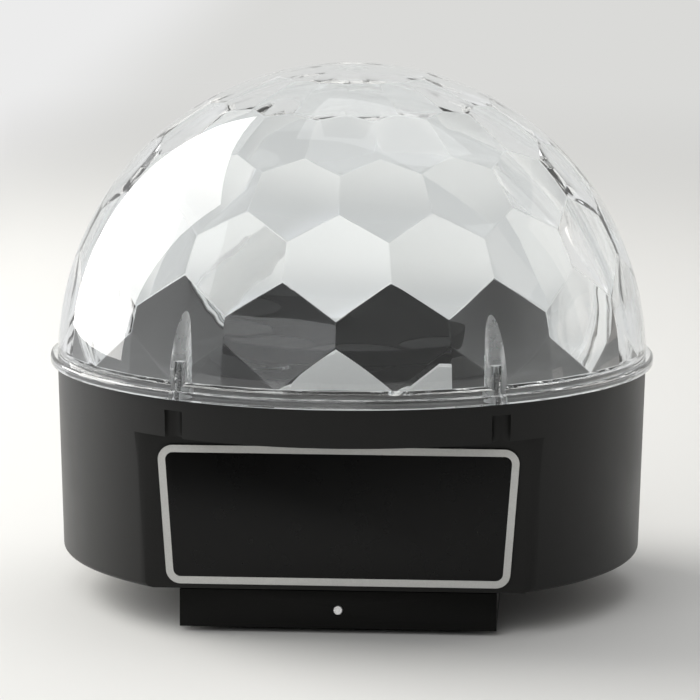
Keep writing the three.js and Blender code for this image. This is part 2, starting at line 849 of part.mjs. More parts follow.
// A shallow cap on z = 0, with a short skirt below that sinks into the disc
function lensBump() {
  const sphereRadius = (lensBumpRadius ** 2 + lensBumpRise ** 2) / (2 * lensBumpRise);
  const reach = Math.asin(lensBumpRadius / sphereRadius);
  const steps = 2;
  const cap = Array.from({ length: steps + 1 }, (_, i) => {
    const angle = reach * (1 - i / steps);
    return [sphereRadius * Math.sin(angle), lensBumpRise - sphereRadius * (1 - Math.cos(angle))];
  });
  return turned([[0, -wheelThickness / 2], [lensBumpRadius, -wheelThickness / 2], ...cap]);
}

// Front label: a thin plate, wider at its top than at its foot

function labelShape() {
  const [topHalf, footHalf, half] = [labelTopWidth / 2, labelBottomWidth / 2, labelHeight / 2];
  const slant = Math.atan2(topHalf - footHalf, labelHeight);
  const shape = new THREE.Shape();
  const [topX, footX] = [topHalf - labelCorner, footHalf - labelCorner];
  shape.absarc(topX, half - labelCorner, labelCorner, -slant, Math.PI / 2);
  shape.absarc(-topX, half - labelCorner, labelCorner, Math.PI / 2, Math.PI + slant);
  shape.absarc(-footX, labelCorner - half, labelCorner, Math.PI + slant, Math.PI * 1.5);
  shape.absarc(footX, labelCorner - half, labelCorner, Math.PI * 1.5, Math.PI * 2 - slant);
  return upright(shape, labelThickness, -labelBack - labelThickness, 4).translate(0, 0, labelCentreZ);
}

// Rear panel and its fittings

function panelCutouts() {
  const grow = 2 * seatGap;
  const slotWidth = modeTravel + leverWidth + grow;
  return [
    upright(roundedRectangle(inletWidth + grow, inletHeight + grow, overrun, inletX, labelCentreZ),
      panelThickness + 2 * overrun, panelInside - overrun, 2),
    upright(roundedRectangle(switchWidth + grow, switchHeight + grow, overrun, 0, labelCentreZ),
      panelThickness + 2 * overrun, panelInside - overrun, 2),
    block(slotWidth, panelThickness + 2 * overrun, leverHeight + grow, modeX,
      panelInside + panelThickness / 2, labelCentreZ - leverHeight / 2 - seatGap),
    alongY(rod(bushingRadius + seatGap, panelThickness + 2 * overrun, 0, 0, 0, mediumSegments),
      knobX, panelInside - overrun, labelCentreZ),
  ].map(toSolid);
}

function rearPanelShape() {
  const plate = toSolid(upright(
    roundedRectangle(panelWidth, panelHeight, panelCorner, 0, labelCentreZ), panelThickness, panelInside,
  ));
  const screwHoles = panelScrewPlaces().map(([x, z]) => screwHoleAlongY(x, z));
  return cut(plate, ...panelCutouts(), ...screwHoles);
}

// The inlet's outline: a rectangle whose two upper corners are cut off
function inletOutline(width, height, chamfer) {
  const [x, z] = [width / 2, height / 2];
  return polygon([
    [-x, -z], [x, -z], [x, z - chamfer], [x - chamfer, z], [chamfer - x, z], [-x, z - chamfer],
  ]);
}

function pinPlaces() {
  return [[-pinSpread, -pinEarthRise], [0, pinEarthRise], [pinSpread, -pinEarthRise]];
}

function inletSocketShape() {
  const bezel = toSolid(upright(
    roundedRectangle(inletWidth + 2 * inletBezel, inletHeight + 2 * inletBezel, inletBezel),
    inletBezelThickness, partOutside,
  ));
  const back = inletFace - inletDepth;
  const body = toSolid(upright(
    roundedRectangle(inletWidth, inletHeight, inletCorner), inletDepth, back, 2,
  ));
  const cavity = toSolid(upright(
    inletOutline(inletWidth - 2 * inletWall, inletHeight - 2 * inletWall, inletChamfer),
    inletDepth, back + inletWall,
  ));
  const pinHoles = pinPlaces().map(([x, z]) => toSolid(block(
    pinWidth + 2 * seatGap, inletDepth, pinHeight + 2 * seatGap,
    x, back, z - pinHeight / 2 - seatGap,
  )));
  return cut(bezel.add(body), cavity, ...pinHoles).translate([inletX, 0, labelCentreZ]);
}

function inletPinGeometry([x, z]) {
  const middle = inletFace - pinRecess - pinLength / 2;
  return block(pinWidth, pinLength, pinHeight, inletX + x, middle, labelCentreZ + z - pinHeight / 2);
}

// Rocker switch: the rocker turns on two trunnions in the switch body's pocket

function switchBodyShape() {
  const bezel = toSolid(upright(
    roundedRectangle(switchWidth + 2 * switchBezel, switchHeight + 2 * switchBezel, switchBezel),
    switchBezelThickness, partOutside, 2,
  ));
  const body = toSolid(block(
    switchWidth, switchDepth, switchHeight, 0, switchFace - switchDepth / 2, -switchHeight / 2,
  ));
  const pocketHeight = 2 * (rockerSwing + seatGap);
  const pocketDepth = rockerAxisDepth + Math.hypot(rockerDepth, rockerHalfHeight / 2) + seatGap;
  const pocket = toSolid(block(
    rockerWidth + 2 * seatGap, pocketDepth + overrun, pocketHeight,
    0, switchFace + (overrun - pocketDepth) / 2, -pocketHeight / 2,
  ));
  const bearingLength = rockerWidth + 2 * (trunnionLength + seatGap);
  const bearing = toSolid(
    rod(trunnionRadius + seatGap, bearingLength).translate(0, 0, -bearingLength / 2)
      .rotateY(Math.PI / 2).translate(0, rockerAxisY, 0),
  );
  return cut(bezel.add(body), pocket, bearing).translate([0, 0, labelCentreZ]);
}

// The rocker about its own axis (x): a dished face outside, and an arc inside that clears the pocket
function rockerGeometry() {
  const shape = new THREE.Shape();
  const start = Math.atan2(rockerCrown, rockerHalfHeight);
  shape.moveTo(rockerCrown - rockerDish, 0);
  shape.lineTo(rockerCrown, rockerHalfHeight);
  shape.absarc(0, 0, rockerSwing, Math.PI / 2 - start, Math.PI / 2 + start / 2);
  shape.lineTo(-rockerDepth, rockerHalfHeight / 2);
  shape.lineTo(-rockerDepth, -rockerHalfHeight / 2);
  shape.absarc(0, 0, rockerSwing, -Math.PI / 2 - start / 2, -Math.PI / 2 + start);
  const slab = toSolid(
    raised(shape, rockerWidth, -rockerWidth / 2).rotateX(Math.PI / 2).rotateZ(Math.PI / 2),
  );
  const span = rockerWidth + 2 * trunnionLength;
  const trunnions = toSolid(
    rod(trunnionRadius, span).translate(0, 0, -span / 2).rotateY(Math.PI / 2),
  );
  return toGeometry(slab.add(trunnions));
}

// Mode switch: a lever with a wide foot that slides in a slotted body

function modeBodyShape() {
  const body = block(modeBodyWidth, modeBodyDepth, modeBodyHeight, modeX,
    fittingFace - modeBodyDepth / 2, labelCentreZ - modeBodyHeight / 2);
  const slot = block(modeTravel + leverWidth + 2 * seatGap, modeBodyDepth, leverHeight + 2 * seatGap,
    modeX, fittingFace, labelCentreZ - leverHeight / 2 - seatGap);
  const roomDepth = leverFootThickness + 2 * seatGap;
  const room = block(
    modeTravel + leverFootWidth + 2 * seatGap, roomDepth, leverFootHeight + 2 * seatGap,
    modeX, fittingFace - modeBodyWall - roomDepth / 2, labelCentreZ - leverFootHeight / 2 - seatGap,
  );
  return cut(toSolid(body), toSolid(slot), toSolid(room));
}

// The lever at the first end of its travel
function leverShape() {
  const footBack = fittingFace - modeBodyWall - seatGap - leverFootThickness;
  const x = modeX - modeTravel / 2;
  const tip = panelOutside + leverProud;
  const stem = block(leverWidth, tip - footBack, leverHeight,
    x, (tip + footBack) / 2, labelCentreZ - leverHeight / 2);
  const foot = block(leverFootWidth, leverFootThickness, leverFootHeight,
    x, footBack + leverFootThickness / 2, labelCentreZ - leverFootHeight / 2);
  return toSolid(stem).add(toSolid(foot));
}

// Sensitivity control: a potentiometer behind the panel, its shaft and a fluted knob

function potGeometry() {
  const top = panelOutside + bushingProud - potBack;
  const bore = potShaftRadius + seatGap;
  return alongY(turned([
    [0, 0],
    [potRadius, 0],
    [potRadius, potDepth],
    [bushingRadius, potDepth],
    [bushingRadius, top],
    [bore, top],
    [bore, potDepth / 2],
    [0, potDepth / 2],
  ], mediumSegments), knobX, potBack, labelCentreZ);
}

function potShaftGeometry() {
  return alongY(rod(potShaftRadius, potShaftLength), knobX, potShaftFoot, labelCentreZ);
}

function knobShape() {
  const points = around(2 * knobFlutes).map((angle, i) => {
    const radius = i % 2 ? knobRadius * knobFluteShare : knobRadius;
    return [radius * Math.cos(angle), radius * Math.sin(angle)];
  });
  const grip = toSolid(raised(polygon(points), knobHeight));
  const crown = toSolid(turned([
    [0, -overrun],
    [knobRadius + overrun, -overrun],
    [knobRadius + overrun, knobHeight - knobChamfer - overrun],
    [knobRadius - knobChamfer, knobHeight],
    [0, knobHeight],
  ], mediumSegments));
  const shaftReach = potShaftFoot + potShaftLength - knobBottom;
  const bore = toSolid(rod(potShaftRadius + seatGap, shaftReach + seatGap + overrun, 0, 0, -overrun));
  const counterbore = toSolid(rod(
    bushingRadius + seatGap, bushingProud + overrun, 0, 0, -overrun, mediumSegments,
  ));
  return cut(grip.intersect(crown), bore, counterbore);
}

// Boards that lie in the plinth

function boardShape(length, y) {
  const board = toSolid(block(boardWidth, length, boardThickness, 0, y, boardUnderside));
  const holes = boardScrewPlaces().map(([x, holeY]) => drilled(
    pilotRadius, boardThickness + 2 * overrun, x, holeY, boardUnderside - overrun,
  ));
  return cut(board, ...holes);
}

// Transformer: a wound bobbin between the two legs of its core
function transformerShape() {
  const core = toSolid(block(transformerSize + 2 * coreThickness, coreThickness, transformerHeight));
  const winding = toSolid(raised(
    roundedRectangle(transformerSize, transformerSize, transformerSize / 4), transformerHeight * 3 / 4,
    transformerHeight / 8,
  ));
  return joined(core, winding);
}

function capacitorGeometry() {
  const edge = capacitorRadius / 8;
  return turned([
    [0, 0],
    [capacitorRadius, 0],
    [capacitorRadius, capacitorHeight - edge],
    [capacitorRadius - edge, capacitorHeight],
    [0, capacitorHeight],
  ], mediumSegments);
}

function controlBoardShape() {
  const board = boardShape(controlBoardLength, controlBoardY);
  return joined(board, chipShape().translate([0, controlBoardY, boardUnderside + boardThickness]));
}

// The controller chip, with a row of legs on both long sides that stand in the board
function chipShape() {
  const lift = chipHeight / 4;
  const body = toSolid(block(chipWidth, chipLength, chipHeight - lift, 0, 0, lift));
  const pitch = chipWidth / chipLegCount;
  const legs = Array.from({ length: chipLegCount }, (_, i) => toSolid(block(
    pitch / 2, chipLength + pitch, 3 * lift, (i - (chipLegCount - 1) / 2) * pitch, 0, -lift,
  )));
  return joined(body, ...legs);
}

// Feet, microphone and screws

// A foot stands on z = 0: a pad with a plug that goes up into the plinth's floor
function footGeometry() {
  const plugTop = footThickness + seatGap + plinthWall;
  return turned([
    [0, 0],
    [footRadius - footThickness / 2, 0],
    [footRadius, footThickness / 2],
    [footRadius, footThickness],
    [footPlugRadius, footThickness],
    [footPlugRadius, plugTop],
    [0, plugTop],
  ]);
}

// The capsule: a nose that ends level with the plinth's front, on a wider can
function microphoneGeometry() {
  const noseLength = plinthWall + seatGap;
  return alongY(turned([
    [0, 0],
    [capsuleNoseRadius, 0],
    [capsuleNoseRadius, noseLength],
    [capsuleRadius, noseLength],
    [capsuleRadius, noseLength + capsuleDepth],
    [0, noseLength + capsuleDepth],
  ], mediumSegments), 0, -flatDistance, plinthBottom + microphoneHeight);
}

// A pan-head screw: its head hangs below z = 0 and its shank rises from there
function screwGeometry(length) {
  return turned([
    [0, -screwHeadHeight],
    [screwHeadRadius - screwHeadHeight / 2, -screwHeadHeight],
    [screwHeadRadius, 0],
    [screwRadius, 0],
    [screwRadius, length],
    [0, length],
  ], holeSegments);
}

// The assembly

const blackPlastic = { color: 0x1b1b1c, roughness: 0.45, metalness: 0 };
const clearPlastic = { color: 0xdfe4e6, roughness: 0.05, metalness: 0 };
const steel = { color: 0xb4b6b8, roughness: 0.35, metalness: 1 };
const aluminium = { color: 0xc9cbcd, roughness: 0.4, metalness: 1 };
const rubber = { color: 0x151515, roughness: 0.9, metalness: 0 };
const whitePlastic = { color: 0xe8e6e0, roughness: 0.5, metalness: 0 };
const boardGreen = { color: 0x1f5a36, roughness: 0.5, metalness: 0 };
const labelBlack = { color: 0x0d0d0e, roughness: 0.3, metalness: 0 };
const brass = { color: 0xc6a55a, roughness: 0.3, metalness: 1 };
const copperYellow = { color: 0xc9a23c, roughness: 0.6, metalness: 0 };

function piece(name, form, finish) {
  const geometry = form.isBufferGeometry ? form : toGeometry(form);
  const mesh = new THREE.Mesh(geometry, new THREE.MeshStandardMaterial(finish));
  mesh.name = name;
  return mesh;
}

function placed(mesh, x, y, z) {
  mesh.position.set(x, y, z);
  return mesh;
}

function housingGroup() {
  const group = new THREE.Group();
  group.add(
    piece("base_housing", baseHousingShape(), blackPlastic),
    piece("bottom_cover", bottomCoverShape(), blackPlastic),
    piece("front_label", labelShape(), labelBlack),
    piece("microphone", microphoneGeometry(), aluminium),
  );
  footPlaces().forEach(([x, y], i) => {
    group.add(placed(piece(`foot_${i + 1}`, footGeometry(), rubber), x, y, 0));
  });
  coverScrewAngles.forEach((angle, i) => {
    const screw = piece(`cover_screw_${i + 1}`, screwGeometry(coverScrewLength), steel);
    group.add(placed(screw, ...onCircle(coverPostDistance, angle), coverBottom - seatGap));
  });
  return group;
}

function domeGroup() {
  const group = new THREE.Group();
  group.add(
    piece("dome", domeShape(), clearPlastic),
    piece("deck_plate", deckShape(), blackPlastic),
  );
  domeScrewAngles.forEach((angle, i) => {
    const screw = piece(`dome_screw_${i + 1}`, screwGeometry(domeScrewLength), steel);
    group.add(placed(screw, ...onCircle(postDistance, angle), ringBottom - seatGap));
  });
  return group;
}

function lightSourceGroup() {
  const group = new THREE.Group();
  group.add(
    piece("led_board", ledBoardShape(), whitePlastic),
    piece("heat_sink", heatSinkShape(), aluminium),
  );
  around(ledCount, 180 / ledCount).forEach((angle, i) => {
    const seat = new THREE.Group();
    seat.rotation.z = angle;
    seat.add(
      placed(piece(`led_${i + 1}`, ledGeometry(), copperYellow), ledPitchRadius, 0, boardTop + seatGap),
      placed(piece(`led_lens_${i + 1}`, collimatorGeometry(), clearPlastic),
        ledPitchRadius, 0, boardTop + seatGap),
    );
    group.add(seat);
  });
  sinkScrewPlaces().forEach(([x, y], i) => {
    const screw = piece(`sink_screw_${i + 1}`, screwGeometry(sinkScrewLength), steel);
    group.add(placed(screw, x, y, sinkBottom - seatGap));
  });
  return group;
}

function driveGroup() {
  const group = new THREE.Group();
  group.add(piece("motor", motorShape(), steel));
  motorScrewPlaces().forEach(([x, y], i) => {
    const screw = piece(`motor_screw_${i + 1}`, screwGeometry(motorScrewLength), steel);
    group.add(placed(screw, x, y, motorTop - earThickness - seatGap));
  });
  const rotor = new THREE.Group();
  const wheelScrew = piece("wheel_screw", screwGeometry(wheelScrewLength - seatGap), steel);
  wheelScrew.rotation.x = Math.PI;
  rotor.add(
    piece("rotor_shaft", shaftShape(), steel),
    piece("lens_wheel", wheelShape(), clearPlastic),
    placed(wheelScrew, 0, 0, hubTop + seatGap),
  );
  group.add(rotor);
  return group;
}

function rearGroup() {
  const group = new THREE.Group();
  const rocker = placed(
    piece("power_rocker", rockerGeometry(), blackPlastic), 0, rockerAxisY, labelCentreZ,
  );
  rocker.rotation.x = -THREE.MathUtils.degToRad(rockerTilt);
  const knob = placed(
    piece("sensitivity_knob", knobShape(), blackPlastic), knobX, knobBottom, labelCentreZ,
  );
  knob.rotation.x = -Math.PI / 2;
  group.add(
    piece("rear_panel", rearPanelShape(), aluminium),
    piece("inlet_socket", inletSocketShape(), blackPlastic),
    piece("power_switch_body", switchBodyShape(), blackPlastic),
    rocker,
    piece("mode_switch_body", modeBodyShape(), steel),
    piece("mode_slider", leverShape(), blackPlastic),
    piece("sensitivity_pot", potGeometry(), steel),
    piece("sensitivity_shaft", potShaftGeometry(), steel),
    knob,
  );
  pinPlaces().forEach((place, i) => {
    group.add(piece(`inlet_pin_${i + 1}`, inletPinGeometry(place), brass));
  });
  panelScrewPlaces().forEach(([x, z], i) => {
    const screw = piece(`panel_screw_${i + 1}`, screwGeometry(panelScrewLength), steel);
    screw.rotation.x = Math.PI / 2;
    group.add(placed(screw, x, partOutside, z));
  });
  return group;
}

function electronicsGroup() {
  const group = new THREE.Group();
  const top = boardUnderside + boardThickness + seatGap;
  group.add(
    piece("power_board", boardShape(powerBoardLength, powerBoardY), boardGreen),
    piece("control_board", controlBoardShape(), boardGreen),
    placed(piece("transformer", transformerShape(), copperYellow), transformerX, powerBoardY, top),
    placed(piece("filter_capacitor", capacitorGeometry(), blackPlastic), capacitorX, powerBoardY, top),
  );
  boardScrewPlaces().forEach(([x, y], i) => {
    const screw = piece(`board_screw_${i + 1}`, screwGeometry(boardScrewLength), steel);
    screw.rotation.x = Math.PI;
    group.add(placed(screw, x, y, top));
  });
  return group;
}

const discoLight = new THREE.Group();
discoLight.add(
  housingGroup(),
  domeGroup(),
  lightSourceGroup(),
  driveGroup(),
  rearGroup(),
  electronicsGroup(),
);

export default discoLight;
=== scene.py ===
import math

import bpy
from mathutils import Matrix, Vector


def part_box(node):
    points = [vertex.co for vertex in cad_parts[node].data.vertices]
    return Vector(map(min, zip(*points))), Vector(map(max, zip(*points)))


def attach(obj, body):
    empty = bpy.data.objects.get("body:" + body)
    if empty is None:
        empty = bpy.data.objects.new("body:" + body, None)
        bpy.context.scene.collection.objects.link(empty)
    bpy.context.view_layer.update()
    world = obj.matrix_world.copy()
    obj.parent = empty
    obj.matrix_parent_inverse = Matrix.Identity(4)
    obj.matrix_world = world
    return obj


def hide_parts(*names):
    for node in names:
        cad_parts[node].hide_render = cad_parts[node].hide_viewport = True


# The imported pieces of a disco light: a clear dome with hexagon facets on a black drum. Metres, +Z up,
# the front faces -Y.
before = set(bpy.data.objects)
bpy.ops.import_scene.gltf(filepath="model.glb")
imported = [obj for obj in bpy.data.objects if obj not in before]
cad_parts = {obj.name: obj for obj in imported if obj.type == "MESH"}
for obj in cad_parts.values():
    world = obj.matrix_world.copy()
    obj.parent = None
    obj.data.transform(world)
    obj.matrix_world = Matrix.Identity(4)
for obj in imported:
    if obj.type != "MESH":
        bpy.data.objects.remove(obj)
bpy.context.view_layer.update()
bpy.ops.object.select_all(action="DESELECT")
mm = 0.001
degree = math.pi / 180

# Camera: 1.4 m in front, a little above the drum and to its right, with a long lens. It aims just
# above the drum's top, where the middle of the picture lies.
camera_distance = 1400 * mm
camera_elevation = 9.37 * degree
camera_azimuth = 3.17 * degree
camera_roll = 0.253 * degree
camera_target = Vector((0, 0, 77.37 * mm))
picture_offset = Vector((-0.62 * mm, 2.17 * mm))
focal_length = 216.34
light_bounces = 24

sight = Vector((
    math.sin(camera_azimuth) * math.cos(camera_elevation),
    -math.cos(camera_azimuth) * math.cos(camera_elevation),
    math.sin(camera_elevation),
))
camera_place = camera_target + camera_distance * sight
level_right = Vector((math.cos(camera_azimuth), math.sin(camera_azimuth), 0))
aim = camera_target + picture_offset.x * level_right + picture_offset.y * sight.cross(level_right)
bpy.ops.object.camera_add(location=camera_place)
camera = bpy.context.object
turn = (aim - camera_place).to_track_quat("-Z", "Y").to_matrix() @ Matrix.Rotation(camera_roll, 3, "Z")
camera.rotation_euler = turn.to_euler()
camera.data.sensor_width = 36
camera.data.lens = focal_length
camera.data.clip_start = 10 * mm
bpy.context.scene.camera = camera
bpy.context.scene.view_settings.view_transform = "Standard"
bpy.context.scene.cycles.transmission_bounces = light_bounces
bpy.context.scene.cycles.glossy_bounces = light_bounces
bpy.context.scene.cycles.max_bounces = light_bounces

# Studio: a pale floor in a pale room that is palest on the left, where the key light stands. The side
# behind the camera gives little light and mirrors dark, so the drum is dark in front and bright at its
# flanks, but seen through the dome it is as pale as the rest.
room_colour = "dadad8"
window_colour = "ececec"
floor_colour = "dcdcda"
floor_radius = 3000 * mm
pool_inner = 700 * mm
pool_outer = 1700 * mm
# Where the floor's painted pool of key light begins and where it is full, along X to the left
painted_pool_near = 200 * mm
painted_pool_far = 340 * mm
front_light = 0.05
front_mirror = 0.06
back_light = 0.8
paper_grain = 0.8 * mm
paper_relief = 0.05 * mm
# Where the room's sides begin and end, as shares of a direction along Y or X
front_end = -0.75
mirror_end = -0.1
back_start = 0.55
left_start = -0.3
left_end = -0.6


def srgb(code, alpha=1):
    channels = [int(code[i:i + 2], 16) / 255 for i in (0, 2, 4)]
    linear = [c / 12.92 if c <= 0.04045 else ((c + 0.055) / 1.055) ** 2.4 for c in channels]
    return (*linear, alpha)


def add_node(tree, kind, values=None, links=None, **settings):
    node = tree.nodes.new(kind)
    for name, value in settings.items():
        setattr(node, name, value)
    for socket, value in (values or {}).items():
        node.inputs[socket].default_value = value
    for socket, source in (links or {}).items():
        tree.links.new(source, node.inputs[socket])
    return node


def new_material(name):
    material = bpy.data.materials.new(name)
    material.use_nodes = True
    material.node_tree.nodes.clear()
    return material


def studio_world():
    world = bpy.data.worlds.new("studio_room")
    world.use_nodes = True
    tree = world.node_tree
    tree.nodes.clear()
    direction = add_node(tree, "ShaderNodeTexCoord").outputs["Generated"]
    axes = add_node(tree, "ShaderNodeSeparateXYZ", links={"Vector": direction})
    depth = add_node(
        tree, "ShaderNodeMapRange",
        {"From Min": front_end, "From Max": back_start, "To Min": front_light, "To Max": back_light},
        {"Value": axes.outputs["Y"]}, interpolation_type="SMOOTHSTEP",
    )
    path = add_node(tree, "ShaderNodeLightPath")
    clear = add_node(
        tree, "ShaderNodeMath", links={
            0: path.outputs["Is Camera Ray"], 1: path.outputs["Is Transmission Ray"],
        }, operation="MAXIMUM",
    )
    straight = add_node(
        tree, "ShaderNodeMath", links={0: clear.outputs[0], 1: path.outputs["Is Glossy Ray"]},
        operation="MAXIMUM",
    )
    light = add_node(tree, "ShaderNodeBackground", links={"Color": depth.outputs["Result"]})
    left = add_node(
        tree, "ShaderNodeMapRange", {"From Min": left_start, "From Max": left_end},
        {"Value": axes.outputs["X"]}, interpolation_type="SMOOTHSTEP",
    )
    walls = add_node(
        tree, "ShaderNodeMix", {6: srgb(room_colour), 7: srgb(window_colour)}, {0: left.outputs["Result"]},
        data_type="RGBA",
    )
    front = add_node(
        tree, "ShaderNodeMapRange",
        {"From Min": front_end, "From Max": mirror_end, "To Min": front_mirror},
        {"Value": axes.outputs["Y"]}, interpolation_type="SMOOTHSTEP",
    )
    level = add_node(
        tree, "ShaderNodeMath", links={0: front.outputs["Result"], 1: clear.outputs[0]},
        operation="MAXIMUM",
    )
    seen = add_node(
        tree, "ShaderNodeBackground", links={"Color": walls.outputs[2], "Strength": level.outputs[0]},
    )
    shown = add_node(tree, "ShaderNodeMixShader", links={
        0: straight.outputs[0], 1: light.outputs[0], 2: seen.outputs[0],
    })
    add_node(tree, "ShaderNodeOutputWorld", links={"Surface": shown.outputs[0]})
    bpy.context.scene.world = world


# Matt paper near the light, which fades into a glowing field as pale as the room, so that no horizon shows
# behind the dome. Towards the left the paper glows brighter, in the window colour: a painted pool of the key
# light.
def floor_paper():
    material = new_material("floor_paper")
    tree = material.node_tree
    place = add_node(tree, "ShaderNodeTexCoord").outputs["Object"]
    distance = add_node(tree, "ShaderNodeVectorMath", links={0: place}, operation="LENGTH")
    fade = add_node(
        tree, "ShaderNodeMapRange", {"From Min": pool_inner, "From Max": pool_outer},
        {"Value": distance.outputs["Value"]}, interpolation_type="SMOOTHSTEP",
    )
    axes = add_node(tree, "ShaderNodeSeparateXYZ", links={"Vector": place})
    # Painted light: towards the left the floor turns to glow in the window colour, a painted pool of the key
    # light
    left = add_node(
        tree, "ShaderNodeMapRange", {"From Min": -painted_pool_near, "From Max": -painted_pool_far},
        {"Value": axes.outputs["X"]}, interpolation_type="SMOOTHSTEP",
    )
    field = add_node(
        tree, "ShaderNodeMath", links={0: fade.outputs["Result"], 1: left.outputs["Result"]},
        operation="MAXIMUM",
    )
    pale = add_node(
        tree, "ShaderNodeMix", {6: srgb(room_colour), 7: srgb(window_colour)}, {0: left.outputs["Result"]},
        data_type="RGBA",
    )
    grain = add_node(tree, "ShaderNodeTexNoise", {"Scale": 1 / paper_grain, "Detail": 2}, {"Vector": place})
    bump = add_node(
        tree, "ShaderNodeBump", {"Strength": 0.1, "Distance": paper_relief},
        {"Height": grain.outputs["Fac"]},
    )
    paper = add_node(tree, "ShaderNodeBsdfPrincipled", {
        "Base Color": srgb(floor_colour), "Roughness": 0.9, "Specular IOR Level": 0.2,
    }, {"Normal": bump.outputs["Normal"]})
    glow = add_node(tree, "ShaderNodeEmission", links={"Color": pale.outputs[2]})
    mixed = add_node(tree, "ShaderNodeMixShader", links={
        0: field.outputs[0], 1: paper.outputs[0], 2: glow.outputs[0],
    })
    add_node(tree, "ShaderNodeOutputMaterial", links={"Surface": mixed.outputs[0]})
    return material


def softbox(name, place, width, height, radiance, colour, mirrored=True, through=True):
    bpy.ops.object.light_add(type="AREA", location=place)
    lamp = bpy.context.object
    lamp.name = name
    lamp.data.shape = "RECTANGLE"
    lamp.data.size = width
    lamp.data.size_y = height
    lamp.data.energy = radiance * math.pi * width * height
    lamp.data.color = srgb(colour)[:3]
    lamp.visible_camera = False
    lamp.visible_glossy = mirrored
    lamp.visible_transmission = through
    lamp.rotation_euler = (camera_target - Vector(place)).to_track_quat("-Z", "Y").to_euler()
    bpy.ops.object.select_all(action="DESELECT")


studio_world()
# Each softbox with its place, width and height in metres, its radiance and its colour
softbox("key_softbox", (-1.1, 0.5, 0.62), 1.1, 1.5, 5.2, "fffdf9", through=False)
softbox("fill_softbox", (1.5, 0.7, 0.6), 0.8, 1.2, 0.6, "fff4ea")
softbox("top_softbox", (0.2, 0.5, 1.7), 1.2, 0.8, 0.9, "ffffff")
softbox("front_softbox", (-0.5, -1.4, 1.1), 1.6, 1.6, 1.8, "ffffff", mirrored=False)
bpy.ops.mesh.primitive_circle_add(vertices=96, radius=floor_radius, fill_type="NGON")
floor = bpy.context.object
floor.name = "studio_floor"
floor.data.materials.append(floor_paper())
bpy.ops.object.select_all(action="DESELECT")

# Drum: the base housing, moulded in black ABS with a spark-eroded satin skin. Its round wall is
# drafted, and steps in to a flat below a band at the front and at the rear. The four dome screws sit in
# bores that open below the band, each behind a shallow groove in the wall.
drum_low, drum_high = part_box("base_housing")
cover_low, cover_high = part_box("bottom_cover")
deck_low, deck_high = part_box("deck_plate")
deck_thickness = 2 * mm
drum_taper = 1.7 * mm
drum_wall = 2.5 * mm
drum_edge = 1.6 * mm
drum_bevel = 0.35 * mm
band_height = 12.2 * mm
seat_gap = 0.3 * mm
seat_ring_width = 8.5 * mm
seat_ring_thickness = 2.5 * mm
groove_width = 7 * mm
groove_depth = 3 * mm
groove_rise = 1.3 * mm
screw_hole_radius = 1.8 * mm
screw_bore_radius = 3 * mm
bore_wall = 1.6 * mm
bore_reach = 9 * mm
flat_fillet = 13 * mm
small_edge = 0.3 * mm
overrun = 1 * mm
weld_distance = 0.001 * mm
round_steps = 192

drum_radius = drum_high.x
drum_foot_radius = drum_radius - drum_taper
flat_distance = -cover_low.y
inner_flat = flat_distance - drum_wall
ledge_height = drum_high.z - band_height
deck_bottom = drum_high.z - deck_thickness
deck_seat = deck_bottom - seat_gap
deck_seat_radius = deck_high.x + seat_gap
seat_ring_radius = deck_seat_radius - seat_ring_width
ring_bottom = deck_seat - seat_ring_thickness


def numbered(name, count):
    return [f"{name}_{i}" for i in range(1, count + 1)]


def middle(node):
    low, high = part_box(node)
    return (low + high) / 2


def drum_radius_at(height):
    share = (height - drum_low.z) / (drum_high.z - drum_low.z)
    return drum_foot_radius + drum_taper * share


def named(name):
    piece = bpy.context.object
    piece.name = name
    piece.data.name = name
    return piece


def finish_edit():
    bpy.ops.mesh.select_all(action="SELECT")
    bpy.ops.mesh.remove_doubles(threshold=weld_distance)
    bpy.ops.mesh.normals_make_consistent(inside=False)
    bpy.ops.object.mode_set(mode="OBJECT")


# A line of points in the plane y = 0, each extruded from the one before
def trace(points):
    bpy.ops.mesh.primitive_plane_add(size=mm)
    bpy.ops.object.mode_set(mode="EDIT")
    bpy.ops.mesh.merge(type="CENTER")
    bpy.ops.transform.translate(value=(points[0][0], 0, points[0][1]))
    for start, end in zip(points, points[1:]):
        step = (end[0] - start[0], 0, end[1] - start[1])
        bpy.ops.mesh.extrude_region_move(TRANSFORM_OT_translate={"value": step})


# A turned solid about Z, from the [radius, height] points of its outside
def turned(name, profile, steps=round_steps):
    trace(profile)
    bpy.ops.mesh.select_all(action="SELECT")
    bpy.ops.mesh.spin(steps=steps, angle=2 * math.pi, center=(0, 0, 0), axis=(0, 0, 1))
    finish_edit()
    return named(name)


# A plate whose outline is given in x and z, from one y to another
def plate(name, outline, near, far):
    trace(outline)
    bpy.ops.mesh.select_all(action="SELECT")
    bpy.ops.mesh.edge_face_add()
    bpy.ops.transform.translate(value=(0, near, 0))
    bpy.ops.mesh.extrude_region_move(TRANSFORM_OT_translate={"value": (0, far - near, 0)})
    finish_edit()
    return named(name)


# The points of a quarter round, or of any arc, between two angles in degrees
def arc(x, z, radius, first, last, steps=4):
    angles = [(first + (last - first) * i / steps) * degree for i in range(steps + 1)]
    return [(x + radius * math.cos(a), z + radius * math.sin(a)) for a in angles]


def rounded_outline(half_width, half_height, corner, x=0, z=0, steps=6):
    right, top = half_width - corner, half_height - corner
    return [
        *arc(x + right, z + top, corner, 0, 90, steps), *arc(x - right, z + top, corner, 90, 180, steps),
        *arc(x - right, z - top, corner, 180, 270, steps), *arc(x + right, z - top, corner, 270, 360, steps),
    ]


def block(name, low, high):
    low, high = Vector(low), Vector(high)
    bpy.ops.mesh.primitive_cube_add(size=1, location=(low + high) / 2, scale=high - low)
    piece = named(name)
    apply_place(piece)
    return piece


def select_only(*pieces):
    bpy.ops.object.select_all(action="DESELECT")
    for piece in pieces:
        piece.select_set(True)
    bpy.context.view_layer.objects.active = pieces[0]


def apply_place(piece):
    select_only(piece)
    bpy.ops.object.transform_apply(location=True, rotation=True, scale=True)


